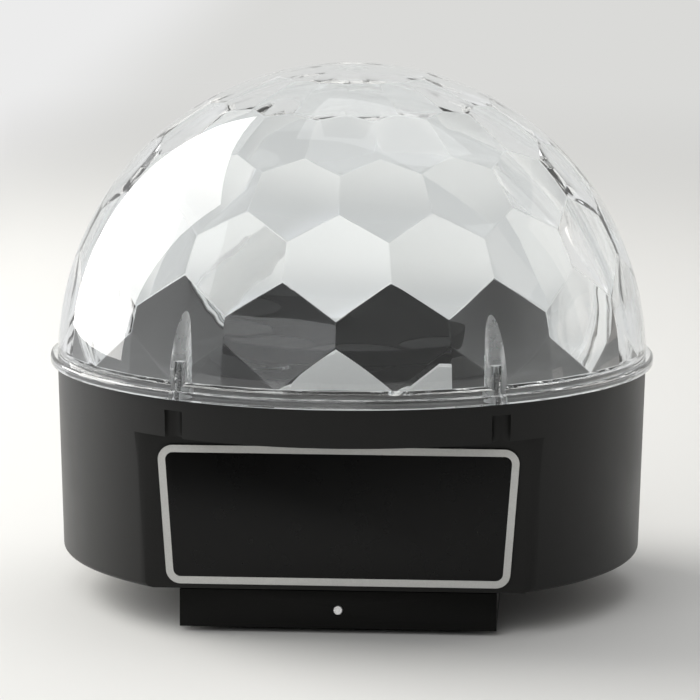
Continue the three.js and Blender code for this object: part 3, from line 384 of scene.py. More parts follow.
# Turns a piece about the origin, by its angles about X, Y and Z, and then moves it
def moved(piece, x=0, y=0, z=0, turn=(0, 0, 0)):
    piece.location = (x, y, z)
    piece.rotation_euler = turn
    apply_place(piece)
    return piece


def turn_about_z(piece, angle):
    return moved(piece, turn=(0, 0, angle))


# Turns a piece that stands up along Z to point along +Y, from a place
def along_y(piece, x, y, z):
    return moved(piece, x, y, z, (-math.pi / 2, 0, 0))


def apply_modifier(piece, kind, **settings):
    select_only(piece)
    modifier = piece.modifiers.new(kind.lower(), kind)
    for name, value in settings.items():
        setattr(modifier, name, value)
    bpy.ops.object.modifier_apply(modifier=modifier.name)


def combine(piece, tool, operation="DIFFERENCE"):
    apply_modifier(piece, "BOOLEAN", object=tool, operation=operation, solver="EXACT")
    bpy.data.objects.remove(tool)
    return piece


def smooth(piece, angle=28):
    select_only(piece)
    bpy.ops.object.shade_smooth_by_angle(angle=angle * degree)
    bpy.ops.object.select_all(action="DESELECT")


# Rounds a piece's sharp edges and shades it smooth
def soften(piece, width=small_edge, angle=40, segments=2):
    apply_modifier(
        piece, "BEVEL", width=width, segments=segments, limit_method="ANGLE",
        angle_limit=angle * degree, use_clamp_overlap=True, miter_outer="MITER_ARC",
    )
    smooth(piece)


def rod(name, radius, low, high, steps=48, x=0, y=0):
    return moved(turned(name, [(0, low), (radius, low), (radius, high), (0, high)], steps), x, y)


# Cuts a rod out of a piece at the place of each node, or joins one to it
def combine_rods(piece, nodes, radius, low, high, steps=24, operation="DIFFERENCE"):
    for node in nodes:
        place = middle(node)
        combine(piece, rod("rod", radius, low, high, steps, place.x, place.y), operation)


def copied(piece, name):
    select_only(piece)
    bpy.ops.object.duplicate()
    return named(name)


# What stays solid in the drum's room about a dome screw's bore, out to the drum's wall
def bore_block(screw):
    place = middle(screw)
    distance = math.hypot(place.x, place.y)
    half = groove_width / 2 + bore_wall
    tool = rod("bore_block", half, ledge_height, ring_bottom, x=distance)
    combine(tool, block(
        "bore_reach", (distance, -half, ledge_height), (drum_radius + bore_reach, half, ring_bottom),
    ), "UNION")
    return turn_about_z(tool, math.atan2(place.y, place.x))


def beyond_flat(side, distance, top):
    near, far = sorted((side * distance, side * 2 * drum_radius))
    return block("flat_tool", (-2 * drum_radius, near, 0), (2 * drum_radius, far, top))


# What is cut off beyond the front flat, which runs into the round wall by a wide fillet
def filleted_flat(top):
    fillet_z = flat_distance - flat_fillet
    fillet_x = math.sqrt((drum_radius - flat_fillet) ** 2 - fillet_z ** 2)
    meeting = math.atan2(fillet_z, fillet_x)
    far = 2 * drum_radius
    fillet = arc(fillet_x, fillet_z, flat_fillet, 90, meeting / degree, 12)
    end_x, end_z = fillet[-1]
    beyond = (end_x + drum_radius * math.sin(meeting), end_z - drum_radius * math.cos(meeting))
    right = [*fillet, beyond, (far, beyond[1]), (far, far)]
    tool = plate("flat_tool", right + [(-x, z) for x, z in reversed(right)], 0, top)
    return moved(tool, turn=(math.pi / 2, 0, 0))


# Nearly all of a noise pattern lies in this range
noise_range = {"From Min": 0.3, "From Max": 0.7}


# A finish whose tone and relief follow a fine grain, and its gloss broad patches. It takes the darker
# and lighter tone, the size of the grain and the patches, the least and most roughness, the depth of
# the relief and the grain's stretch.
def surface(name, tones, grain, patch, roughness, relief=0, stretch=(1, 1, 1), **settings):
    material = new_material(name)
    tree = material.node_tree
    place = add_node(tree, "ShaderNodeTexCoord").outputs["Object"]
    drawn = add_node(tree, "ShaderNodeMapping", {"Scale": stretch}, {"Vector": place})
    fine = add_node(
        tree, "ShaderNodeTexNoise", {"Scale": 1 / grain, "Detail": 4, "Roughness": 0.6},
        {"Vector": drawn.outputs["Vector"]},
    ).outputs["Fac"]
    broad = add_node(tree, "ShaderNodeTexNoise", {"Scale": 1 / patch, "Detail": 3}, {"Vector": place})
    sheen = add_node(
        tree, "ShaderNodeMapRange", {**noise_range, "To Min": roughness[0], "To Max": roughness[1]},
        {"Value": broad.outputs["Fac"]},
    )
    shade = add_node(tree, "ShaderNodeMapRange", noise_range, {"Value": fine})
    tint = add_node(
        tree, "ShaderNodeMix", {6: srgb(tones[0]), 7: srgb(tones[1])}, {0: shade.outputs["Result"]},
        data_type="RGBA",
    )
    links = {"Base Color": tint.outputs[2], "Roughness": sheen.outputs["Result"]}
    if relief:
        links["Normal"] = add_node(
            tree, "ShaderNodeBump", {"Strength": 0.5, "Distance": relief}, {"Height": fine},
        ).outputs["Normal"]
    shader = add_node(tree, "ShaderNodeBsdfPrincipled", settings, links)
    add_node(tree, "ShaderNodeOutputMaterial", links={"Surface": shader.outputs[0]})
    return material


# Moulded ABS from a spark-eroded tool: a fine even grain that scatters its gloss
def moulded_abs(name, dark, light, roughness=(0.37, 0.43), gloss=0.25):
    return surface(
        name, (dark, light), 0.45 * mm, 28 * mm, roughness, 0.012 * mm,
        **{"IOR": 1.53, "Specular IOR Level": gloss},
    )


def finished(piece, material, body, slot, *nodes):
    piece.data.materials.clear()
    piece.data.materials.append(material)
    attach(piece, body)
    if nodes:
        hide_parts(*nodes)
    return piece


drum_black = moulded_abs("moulded_abs_drum", "0f0f0e", "151514")
dome_screws = numbered("dome_screw", 4)
edge_top = drum_low.z + drum_edge
drum = turned("drum", [
    (0, drum_low.z),
    *arc(drum_radius_at(edge_top) - drum_edge, edge_top, drum_edge, -90, 0, 6),
    (drum_radius_at(drum_high.z - small_edge), drum_high.z - small_edge),
    (drum_radius - small_edge, drum_high.z),
    (0, drum_high.z),
])
room = turned("drum_room", [
    (0, drum_low.z - overrun),
    (drum_radius_at(drum_low.z - overrun) - drum_wall, drum_low.z - overrun),
    (drum_radius_at(ring_bottom) - drum_wall, ring_bottom),
    (0, ring_bottom),
])
for side in (-1, 1):
    combine(drum, turn_about_z(filleted_flat(ledge_height), (side + 1) * math.pi / 2))
    combine(room, beyond_flat(side, inner_flat, ledge_height + drum_wall))
for screw in dome_screws:
    combine(room, bore_block(screw))
combine(drum, room)
combine(drum, turned("seat_tool", [
    (0, ring_bottom - overrun), (seat_ring_radius, ring_bottom - overrun), (seat_ring_radius, deck_seat),
    (deck_seat_radius, deck_seat), (deck_seat_radius, drum_high.z + overrun), (0, drum_high.z + overrun),
]))
for screw in dome_screws:
    place = middle(screw)
    combine_rods(drum, [screw], screw_bore_radius, ledge_height - overrun, ring_bottom, 32)
    combine(drum, turn_about_z(rod(
        "groove_tool", groove_width / 2, ledge_height - overrun, ring_bottom + groove_rise,
        x=drum_radius - groove_depth + groove_width / 2,
    ), math.atan2(place.y, place.x)))
    combine_rods(drum, [screw], screw_hole_radius, ledge_height, deck_seat + overrun)
# The opening in the rear flat, behind the panel
panel_low, panel_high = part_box("rear_panel")
panel_middle = middle("rear_panel")
opening_side = 7 * mm
opening_edge = 4 * mm
opening_corner = 3 * mm
combine(drum, plate("opening_tool", rounded_outline(
    panel_high.x - opening_side, (panel_high.z - panel_low.z) / 2 - opening_edge, opening_corner,
    z=panel_middle.z,
), inner_flat - overrun, flat_distance + overrun))
soften(drum, drum_bevel)
apply_modifier(drum, "WEIGHTED_NORMAL", keep_sharp=True)
finished(drum, drum_black, "light", "drum_black", "base_housing")

# Bottom cover: a disc inside the drum's wall, moulded in one with the flat plinth that holds the
# boards. The plinth's front carries the microphone hole, and its floor has vents.
cover_wall = 2.5 * mm
plinth_low = cover_low.z
plinth_top = drum_low.z - seat_gap
plinth_half = 50.5 * mm
disc_thickness = 2.5 * mm
vent_count = 7
vent_width = 3 * mm
vent_length = 40 * mm
vent_pitch = 10 * mm
mic_hole_radius = 1.7 * mm
foot_hole_radius = 2.3 * mm
cover_black = moulded_abs("moulded_abs_plinth", "0b0b0a", "10100f", gloss=0.15)
cover_screws = numbered("cover_screw", 4)
feet = numbered("foot", 4)

disc_radius = cover_high.x
disc_bottom = cover_high.z - disc_thickness
cover_flat = inner_flat - seat_gap
cover = rod("cover", disc_radius, disc_bottom, cover_high.z, round_steps)
for side in (-1, 1):
    combine(cover, beyond_flat(side, cover_flat, cover_high.z + overrun))
combine(cover, block(
    "plinth", (-plinth_half, -flat_distance, plinth_low), (plinth_half, flat_distance, plinth_top),
), "UNION")
combine(cover, block(
    "neck", (-plinth_half, -cover_flat, plinth_low + overrun), (plinth_half, cover_flat, cover_high.z),
), "UNION")
tray_x = plinth_half - cover_wall
tray_y = cover_flat - cover_wall
combine(cover, block(
    "tray", (-tray_x, -tray_y, plinth_low + cover_wall), (tray_x, tray_y, cover_high.z + overrun),
))
vent_ends = vent_length / 2 - vent_width / 2
vent_top = plinth_low + 2 * cover_wall
for i in range(vent_count):
    x = (i - (vent_count - 1) / 2) * vent_pitch
    combine(cover, block(
        "vent_slot", (x - vent_width / 2, -vent_ends, 0), (x + vent_width / 2, vent_ends, vent_top),
    ))
    for end in (-1, 1):
        combine(cover, rod("vent_end", vent_width / 2, 0, vent_top, 24, x, end * vent_ends))
mic_middle = middle("microphone")
mic_hole = rod("mic_hole", mic_hole_radius, 0, cover_wall * 3)
combine(cover, along_y(mic_hole, 0, -flat_distance - overrun, mic_middle.z))
combine_rods(cover, feet, foot_hole_radius, 0, vent_top)
combine_rods(cover, cover_screws, screw_hole_radius, disc_bottom - overrun, cover_high.z + overrun)
soften(cover)
finished(cover, cover_black, "light", "drum_black", "bottom_cover")

# Microphone: the capsule that hears the music. Its drawn aluminium nose, with a felt disc sunk in its
# face, ends level with the plinth.
mic_low, mic_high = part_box("microphone")
nose_radius = 1.4 * mm
nose_length = 2.8 * mm
nose_edge = 0.25 * mm
felt_radius = 0.9 * mm
felt_depth = 0.15 * mm
can_radius = (mic_high.x - mic_low.x) / 2
can_end = mic_high.y - mic_low.y

capsule = turned("microphone_capsule", [
    (0, felt_depth), (felt_radius, felt_depth), (felt_radius + felt_depth, 0),
    *arc(nose_radius - nose_edge, nose_edge, nose_edge, -90, 0),
    (nose_radius, nose_length), (can_radius, nose_length), (can_radius, can_end), (0, can_end),
], 48)
along_y(capsule, 0, mic_low.y, mic_middle.z)
smooth(capsule)
# Drawn aluminium, not polished: pale, with a soft sheen
drawn_aluminium = surface(
    "drawn_aluminium_capsule", ("fafaf8", "ffffff"), 0.2 * mm, 2 * mm, (0.45, 0.6), IOR=1.7,
)
finished(capsule, drawn_aluminium, "light", "capsule_silver", "microphone")

# Feet: four soft black rubber pads, each pressed into the plinth's floor by its plug. Rubber picks up
# a little grey dust.
foot_low, foot_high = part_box("foot_1")
foot_thickness = 1.5 * mm
foot_edge = 0.7 * mm
foot_plug_radius = 2 * mm
foot_radius = (foot_high.x - foot_low.x) / 2
# Moulded rubber: matt, and mottled a little by dust
foot_rubber = surface(
    "moulded_rubber_foot", ("0f0f0f", "1c1c1b"), 0.8 * mm, 4 * mm, (0.75, 0.9), 0.03 * mm, IOR=1.52,
)
foot_master = turned("foot", [
    (0, 0), *arc(foot_radius - foot_edge, foot_edge, foot_edge, -90, 0, 6),
    *arc(foot_radius - small_edge, foot_thickness - small_edge, small_edge, 0, 90, 3),
    (foot_plug_radius, foot_thickness), (foot_plug_radius, foot_high.z), (0, foot_high.z),
])
smooth(foot_master)
for node in feet:
    place = middle(node)
    foot = moved(copied(foot_master, f"{node}_pad"), place.x, place.y)
    finished(foot, foot_rubber, "light", "foot_rubber", node)
bpy.data.objects.remove(foot_master)

# Front label: a thin black plate glued on the front flat, wider at its top than at its foot. Only its
# satin silver border is printed: the field stays bare.
label_low, label_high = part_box("front_label")
label_foot_half = 54.87 * mm
label_corner = 4.8 * mm
border_inset = 0.1 * mm
border_width = 2.35 * mm
print_height = 0.05 * mm
fine_edge = 0.15 * mm


def label_outline(inset):
    top_half, foot_half = label_high.x - inset, label_foot_half - inset
    top, foot = label_high.z - inset, label_low.z + inset
    corner = label_corner - inset
    slant = math.atan2(top_half - foot_half, top - foot) / degree
    return [
        *arc(top_half - corner, top - corner, corner, -slant, 90, 10),
        *arc(corner - top_half, top - corner, corner, 90, 180 + slant, 10),
        *arc(corner - foot_half, foot + corner, corner, 180 + slant, 270, 10),
        *arc(foot_half - corner, foot + corner, corner, 270, 360 - slant, 10),
    ]


# Polycarbonate film printed black: smooth, with a faint orange peel in its gloss
def label_black():
    material = new_material("printed_polycarbonate_label")
    tree = material.node_tree
    place = add_node(tree, "ShaderNodeTexCoord").outputs["Object"]
    haze = add_node(tree, "ShaderNodeTexNoise", {"Scale": 1 / (9 * mm), "Detail": 4}, {"Vector": place})
    sheen = add_node(
        tree, "ShaderNodeMapRange", {"To Min": 0.24, "To Max": 0.32}, {"Value": haze.outputs["Fac"]},
    )
    orange_peel = add_node(tree, "ShaderNodeTexNoise", {"Scale": 1 / (1.2 * mm)}, {"Vector": place})
    bump = add_node(
        tree, "ShaderNodeBump", {"Strength": 0.2, "Distance": 0.01 * mm},
        {"Height": orange_peel.outputs["Fac"]},
    )
    shader = add_node(tree, "ShaderNodeBsdfPrincipled", {
        "Base Color": srgb("0a0a0a"), "Specular IOR Level": 0.2,
    }, {
        "Roughness": sheen.outputs["Result"], "Normal": bump.outputs["Normal"],
    })
    add_node(tree, "ShaderNodeOutputMaterial", links={"Surface": shader.outputs[0]})
    return material


# Screen-printed silver ink: fine flakes that shine a little
def border_silver():
    material = new_material("silver_screen_print")
    tree = material.node_tree
    place = add_node(tree, "ShaderNodeTexCoord").outputs["Object"]
    flake = add_node(tree, "ShaderNodeTexNoise", {"Scale": 1 / (0.3 * mm), "Detail": 3}, {"Vector": place})
    tone = add_node(
        tree, "ShaderNodeMix", {6: srgb("b9b9b6"), 7: srgb("d2d2cf")}, {0: flake.outputs["Fac"]},
        data_type="RGBA",
    )
    shader = add_node(tree, "ShaderNodeBsdfPrincipled", {"Roughness": 0.45, "Metallic": 0.2}, {
        "Base Color": tone.outputs[2],
    })
    add_node(tree, "ShaderNodeOutputMaterial", links={"Surface": shader.outputs[0]})
    return material


label = plate("label", label_outline(0), label_high.y, label_low.y)
soften(label, fine_edge)
finished(label, label_black(), "light", "label_face", "front_label")
border = plate(
    "label_border", label_outline(border_inset), label_low.y + print_height, label_low.y - print_height,
)
combine(border, plate(
    "border_tool", label_outline(border_inset + border_width), label_low.y + overrun,
    label_low.y - overrun,
))
smooth(border)
finished(border, border_silver(), "light", "label_face")

# Deck plate: the drum's black ABS lid, which rests on the seat ring. The six collimators come up
# through the low turret in its middle.
turret_wall = 2 * mm
turret_slope = 3.5 * mm
turret_radius = 50 * mm
shaft_hole_radius = 6 * mm
boss_radius = 3.2 * mm
collimator_radius = 8 * mm
motor_ear_drop = 4.7 * mm
deck_bevel = 0.25 * mm
turret_top = deck_high.z
turret_face = turret_radius - turret_slope
turret_ceiling = turret_top - turret_wall
sink_screws = numbered("sink_screw", 2)
motor_screws = numbered("motor_screw", 2)
led_nodes = numbered("led", 6)

deck = turned("deck", [
    (0, deck_bottom), (deck_high.x - small_edge, deck_bottom), (deck_high.x, deck_bottom + small_edge),
    (deck_high.x, drum_high.z - small_edge), (deck_high.x - small_edge, drum_high.z),
    (turret_radius, drum_high.z), (turret_face, turret_top), (0, turret_top),
])
combine(deck, rod("turret_room", turret_face - turret_wall, deck_bottom - overrun, turret_ceiling, 96))
for screw in sink_screws + motor_screws:
    boss_foot = deck_low.z if screw in sink_screws else turret_top - motor_ear_drop
    boss_head = turret_ceiling + turret_wall / 2
    pilot_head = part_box(screw)[1].z + seat_gap
    combine_rods(deck, [screw], boss_radius, boss_foot, boss_head, 32, "UNION")
    combine_rods(deck, [screw], screw_hole_radius, boss_foot - overrun, pilot_head)
combine_rods(
    deck, led_nodes, collimator_radius + seat_gap, turret_ceiling - overrun, turret_top + overrun, 48,
)
combine_rods(deck, dome_screws, screw_hole_radius, deck_bottom - overrun, drum_high.z + overrun)
combine(deck, rod("shaft_hole", shaft_hole_radius, turret_ceiling - overrun, turret_top + overrun))
soften(deck, deck_bevel, angle=50, segments=1)
deck_black = moulded_abs("moulded_abs_deck", "0d0d0d", "131312", (0.4, 0.5), 0.2)
finished(deck, deck_black, "light", "deck_black", "deck_plate")

# Hood: a white moulded cap that stands on the deck in front of the turret. It has an arched back and
# two flat feet, the right one with a block. The dome's foot facets show it.
hood_half = 15.5 * mm
hood_rise = 9.9 * mm
hood_depth = 5 * mm
hood_foot_half = 21 * mm
hood_foot_thickness = 0.7 * mm
hood_block_near = 22.5 * mm
hood_block_far = 35.6 * mm
hood_block_top = 29.5 * mm
hood_block_rise = 6.6 * mm
hood_bevel = 0.4 * mm
hairline = 0.05 * mm
hood_back = -turret_radius - seat_gap
hood_seat = drum_high.z + hairline
hood_round = (hood_half ** 2 + hood_rise ** 2) / (2 * hood_rise)
hood_reach = math.asin(hood_half / hood_round) / degree
hood = plate(
    "lead_hood",
    arc(0, hood_seat + hood_rise - hood_round, hood_round, 90 - hood_reach, 90 + hood_reach, 24),
    hood_back - hood_depth, hood_back,
)
combine(hood, block(
    "hood_foot", (-hood_foot_half, hood_back - hood_depth, hood_seat),
    (hood_foot_half, hood_back, hood_seat + hood_foot_thickness),
), "UNION")
combine(hood, plate("hood_block", [
    (hood_foot_half - overrun, hood_seat), (hood_block_far, hood_seat),
    (hood_block_far, hood_seat + hood_block_rise), (hood_block_top, hood_seat + hood_block_rise),
    (hood_block_near, hood_seat + hood_foot_thickness),
    (hood_foot_half - overrun, hood_seat + hood_foot_thickness),
], hood_back - hood_depth, hood_back), "UNION")
soften(hood, hood_bevel, angle=50, segments=3)
# White moulded ABS: bright, with a low satin gloss
moulded_white = surface(
    "moulded_abs_white", ("f6f6f4", "fdfdfb"), 0.6 * mm, 8 * mm, (0.4, 0.5), 0.01 * mm, IOR=1.53,
)
finished(hood, moulded_white, "light", "board_white")

# LED board and heat sink: an aluminium-core board with a white solder mask, screwed to a ring of
# extruded fins under the deck. Both are plain solids, softened along their edges.
solid_bevel = 0.2 * mm
solid_edge_angle = 32 * degree


def dressed(material, bevel, *nodes):
    for node in nodes:
        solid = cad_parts[node]
        solid.material_slots[0].material = material
        weld = solid.modifiers.new("weld", "WELD")
        weld.merge_threshold = weld_distance
        edge = solid.modifiers.new("bevel", "BEVEL")
        edge.width = bevel
        edge.segments = 2
        edge.limit_method = "ANGLE"
        edge.angle_limit = solid_edge_angle


# White solder mask: an even coat with a low gloss
solder_mask = surface(
    "white_solder_mask", ("dededa", "ecece8"), 0.6 * mm, 12 * mm, (0.4, 0.5), 0.01 * mm, IOR=1.5,
)
dressed(solder_mask, solid_bevel, "led_board")
# Extruded aluminium: bare metal with fine lines along Z, as it left the press
extruded_aluminium = surface(
    "extruded_aluminium_sink", ("b3b4b6", "c6c7c8"), 0.25 * mm, 8 * mm, (0.35, 0.5), 0.02 * mm,
    (1, 1, 0.08), Metallic=1,
)
dressed(extruded_aluminium, solid_bevel, "heat_sink")

# LEDs and collimators: on each of the six places a ceramic emitter with a silicone dome, under a
# flared acrylic collimator that gathers its light. The domes are tinted in six colours, a painted glow of
# the dies: nothing here gives off light.
led_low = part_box("led_1")[0]
lens_low, lens_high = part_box("led_lens_1")
led_base_radius = 2.9 * mm
led_base_height = 0.9 * mm
led_dome_radius = 1.6 * mm
collimator_foot = 4.6 * mm
collimator_rim = 1.8 * mm
pocket_gap = 0.3 * mm
flare_steps = 10
flare_power = 0.7
# Each dome's tint is a painted glow of its die; the domes give off no light
painted_glow_tints = ("c8a23a", "b9c4a0", "5a68c8", "c8a23a", "d8d4c8", "8a6ab8")
# Alumina ceramic: off-white and matt
ceramic = surface(
    "alumina_led_base", ("d8d6ce", "e6e4dc"), 0.3 * mm, 2 * mm, (0.5, 0.6), 0.01 * mm, IOR=1.76,
)
# Clear moulded acrylic: it shows by its reflections
acrylic = surface(
    "clear_acrylic_collimator", ("fafbfb", "ffffff"), 9 * mm, 9 * mm, (0, 0.02), 0.02 * mm,
    **{"IOR": 1.49, "Transmission Weight": 1},
)
led_master = turned("led_base", [
    (0, led_low.z), (led_base_radius, led_low.z),
    (led_base_radius, led_low.z + led_base_height - small_edge),
    (led_base_radius - small_edge, led_low.z + led_base_height), (0, led_low.z + led_base_height),
], 32)
smooth(led_master)
silicone_master = turned("led_dome", [
    (0, led_low.z + led_base_height + hairline),
    *arc(0, led_low.z + led_base_height + hairline, led_dome_radius - hairline, 0, 90, 10),
], 32)
smooth(silicone_master, angle=40)
pocket_top = led_low.z + led_base_height + led_dome_radius + 2 * pocket_gap
flare_height = lens_high.z - collimator_rim - lens_low.z
flare = [
    (collimator_foot + (collimator_radius - collimator_foot) * (i / flare_steps) ** flare_power,
     lens_low.z + flare_height * i / flare_steps)
    for i in range(flare_steps + 1)
]
collimator_master = turned("collimator", [
    (0, pocket_top), (led_base_radius + pocket_gap, pocket_top),
    (led_base_radius + pocket_gap, lens_low.z), *flare, (collimator_radius, lens_high.z - small_edge),
    (collimator_radius - small_edge, lens_high.z), (0, lens_high.z - collimator_rim / 2),
], 64)
smooth(collimator_master)
for i, (node, tint) in enumerate(zip(led_nodes, painted_glow_tints), 1):
    place = middle(node)
    finished(
        moved(copied(led_master, f"led_base_{i}"), place.x, place.y), ceramic, "light", "led_phosphor", node,
    )
    # Painted glow: the dome takes its die's tint as its colour
    silicone = surface(
        f"painted_glow_dome_{i}", (tint, tint), 0.5 * mm, 2 * mm, (0.1, 0.2), 0.01 * mm, IOR=1.41,
    )
    finished(
        moved(copied(silicone_master, f"led_dome_{i}"), place.x, place.y), silicone, "light", "led_phosphor",
    )
    collimator = moved(copied(collimator_master, f"collimator_{i}"), place.x, place.y)
    finished(collimator, acrylic, "light", "lens_clear", f"led_lens_{i}")
for master in (led_master, silicone_master, collimator_master):
    bpy.data.objects.remove(master)

# Gear motor and shaft: a drawn steel can with two ears, hung under the turret, and the hard steel
# shaft that leaves it by the bearing. The shaft has a flat for the wheel.
motor_low, motor_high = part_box("motor")
shaft_low, shaft_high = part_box("rotor_shaft")
motor_radius = 24.5 * mm
motor_edge = 1.5 * mm
bearing_radius = 5 * mm
bearing_height = 1.5 * mm
ear_radius = 4 * mm
ear_thickness = 1.2 * mm
shaft_radius = 3 * mm
shaft_flat = 2.4 * mm
motor_top = motor_high.z - bearing_height
motor = turned("motor_can", [
    (0, motor_low.z), *arc(motor_radius - motor_edge, motor_low.z + motor_edge, motor_edge, -90, 0, 6),
    *arc(motor_radius - motor_edge / 2, motor_top - motor_edge / 2, motor_edge / 2, 0, 90),
    (bearing_radius, motor_top), (bearing_radius, motor_high.z - small_edge),
    (bearing_radius - small_edge, motor_high.z), (0, motor_high.z),
], 96)
for screw in motor_screws:
    place = middle(screw)
    ear = rod("motor_ear", ear_radius, motor_top - ear_thickness, motor_top - hairline, 32, place.x)
    combine(ear, block(
        "ear_neck", (min(0, place.x), -ear_radius, motor_top - ear_thickness),
        (max(0, place.x), ear_radius, motor_top - hairline),
    ), "UNION")
    combine(motor, ear, "UNION")
    combine(motor, rod("ear_hole", screw_hole_radius, motor_low.z, motor_high.z, 24, place.x))
combine(motor, rod("motor_bore", shaft_radius + seat_gap, shaft_low.z - seat_gap, motor_high.z + overrun))
smooth(motor)
# Zinc plate on drawn steel: a mottled grey shine
zinc_steel = surface(
    "zinc_plated_steel_can", ("a8a9aa", "bcbdbd"), 1.2 * mm, 6 * mm, (0.28, 0.4), 0.01 * mm, Metallic=1,
)
finished(motor, zinc_steel, "light", "motor_steel", "motor")


def flattened_rod(name, grow, low, high):
    piece = rod(name, shaft_radius + grow, low, high, 48)
    return combine(piece, block(
        "flat", (-shaft_radius - overrun, shaft_flat + grow, low - overrun),
        (shaft_radius + overrun, shaft_radius + overrun, high + overrun),
    ))


shaft = flattened_rod("shaft", 0, shaft_low.z, shaft_high.z)
thread_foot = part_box("wheel_screw")[0].z - small_edge
combine(shaft, rod("shaft_thread", screw_hole_radius, thread_foot, shaft_high.z + overrun, 24))
soften(shaft, fine_edge)
# Ground steel: a bright shine with fine rings across the shaft
ground_steel = surface(
    "ground_steel_shaft", ("b2b3b5", "c2c3c4"), 0.2 * mm, 3 * mm, (0.2, 0.3), 0.005 * mm, (1, 1, 6),
    Metallic=1,
)
finished(shaft, ground_steel, "rotor", "motor_steel", "rotor_shaft")

# Lens wheel: it turns over the collimators and throws their beams about. Twelve smoked acrylic lenses,
# flat on top and bulged below, are pressed into a black ABS carrier with a raised rim.
wheel_low, wheel_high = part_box("lens_wheel")
wheel_thickness = 2.2 * mm
wheel_rim_width = 1.6 * mm
wheel_rim_height = 1.2 * mm
hub_radius = 7 * mm
hub_fillet = 1 * mm
lens_count = 12
lens_pitch_radius = 34 * mm
lens_radius = 8.2 * mm
lens_rise = 2.4 * mm
lens_sunk = 0.15 * mm
wheel_radius = wheel_high.x
wheel_bottom = wheel_low.z + lens_rise
wheel_top = wheel_bottom + wheel_thickness
rim_top = wheel_top + wheel_rim_height
rim_inner = wheel_radius - wheel_rim_width
carrier = turned("wheel_carrier", [
    (0, wheel_low.z), (hub_radius - small_edge, wheel_low.z), (hub_radius, wheel_low.z + small_edge),
    (hub_radius, wheel_bottom), (wheel_radius - small_edge, wheel_bottom),
    (wheel_radius, wheel_bottom + small_edge),
    *arc(wheel_radius - small_edge, rim_top - small_edge, small_edge, 0, 90),
    *arc(rim_inner + small_edge, rim_top - small_edge, small_edge, 90, 180), (rim_inner, wheel_top),
    *arc(hub_radius + hub_fillet, wheel_top + hub_fillet, hub_fillet, 270, 180),
    *arc(hub_radius - small_edge, wheel_high.z - small_edge, small_edge, 0, 90), (0, wheel_high.z),
])
for i in range(lens_count):
    combine(carrier, turn_about_z(rod(
        "lens_hole", lens_radius, wheel_bottom - overrun, wheel_top + overrun, 48, lens_pitch_radius,
    ), (i + 0.5) * 360 / lens_count * degree))
combine(carrier, flattened_rod("hub_bore", seat_gap, wheel_low.z - overrun, wheel_high.z + overrun))
soften(carrier, fine_edge, angle=50, segments=1)
carrier_black = moulded_abs("moulded_abs_wheel", "0a0a0a", "0e0e0e", (0.6, 0.7), 0.01)
finished(carrier, carrier_black, "rotor", "lens_clear", "lens_wheel")
# Smoked acrylic: nearly black, and dull under the dome
smoked_acrylic = surface(
    "smoked_acrylic_lens", ("0f0f10", "141415"), 0.9 * mm, 9 * mm, (0.6, 0.7), 0.01 * mm,
    **{"IOR": 1.49, "Specular IOR Level": 0.01, "Transmission Weight": 0.3},
)
lens_ball = (lens_radius ** 2 + lens_rise ** 2) / (2 * lens_rise)
lens_reach = math.asin(lens_radius / lens_ball) / degree
lens_master = turned("lens", [
    *arc(0, wheel_low.z + lens_ball, lens_ball, -90, lens_reach - 90, 12)[:-1],
    (lens_radius - hairline, wheel_bottom), (lens_radius - hairline, wheel_top - lens_sunk),
    (0, wheel_top - lens_sunk),
], 64)
smooth(lens_master)
for i in range(lens_count):
    lens = moved(copied(lens_master, f"wheel_lens_{i + 1}"), lens_pitch_radius)
    turn_about_z(lens, (i + 0.5) * 360 / lens_count * degree)
    finished(lens, smoked_acrylic, "rotor", "lens_clear")
bpy.data.objects.remove(lens_master)

# Dome: one clear polystyrene moulding. Outside it is a smooth half ball on a flange, and inside every
# facet is flat, so each hexagon works as a weak lens. Four posts for the screws stand at its foot.
dome_low, dome_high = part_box("dome")
flange_thickness = 3 * mm
flange_edge = 0.5 * mm
flange_crown = 1 * mm
dome_centre_rise = 1.1 * mm
facet_wall = 6.4 * mm
facets_per_row = 16
facet_row_angles = (12, 27, 41.5, 55, 69, 82)
foot_facet_angle = 5.1
foot_facet_rise = 0.88 * mm
facet_edge = 0.28 * mm
facet_edge_angle = 2 * degree
rabbet_wall = 3 * mm
rabbet_height = 5.1 * mm
rabbet_chamfer = 1.3 * mm
post_radius = 3.6 * mm
post_height = 29 * mm
pilot_top = 88 * mm
dome_steps = 256
dome_arc_steps = 64

dome_radius = drum_radius
dome_centre = dome_low.z + dome_centre_rise
facet_distance = dome_radius - facet_wall
room_low = dome_low.z + rabbet_height


def dome_outside():
    flange_radius = dome_high.x
    flange_top = dome_low.z + flange_thickness
    first = math.asin((flange_thickness - dome_centre_rise) / dome_radius) / degree
    profile = [
        (0, dome_low.z), (flange_radius - flange_edge, dome_low.z),
        *arc(flange_radius - flange_edge, dome_low.z + flange_edge, flange_edge, -90, 0, 3),
        *arc(flange_radius - flange_crown, flange_top - flange_crown, flange_crown, 0, 90, 6),
        *arc(0, dome_centre, dome_radius, first, 90, dome_arc_steps),
    ]
    return turned("dome_moulding", profile, dome_steps)


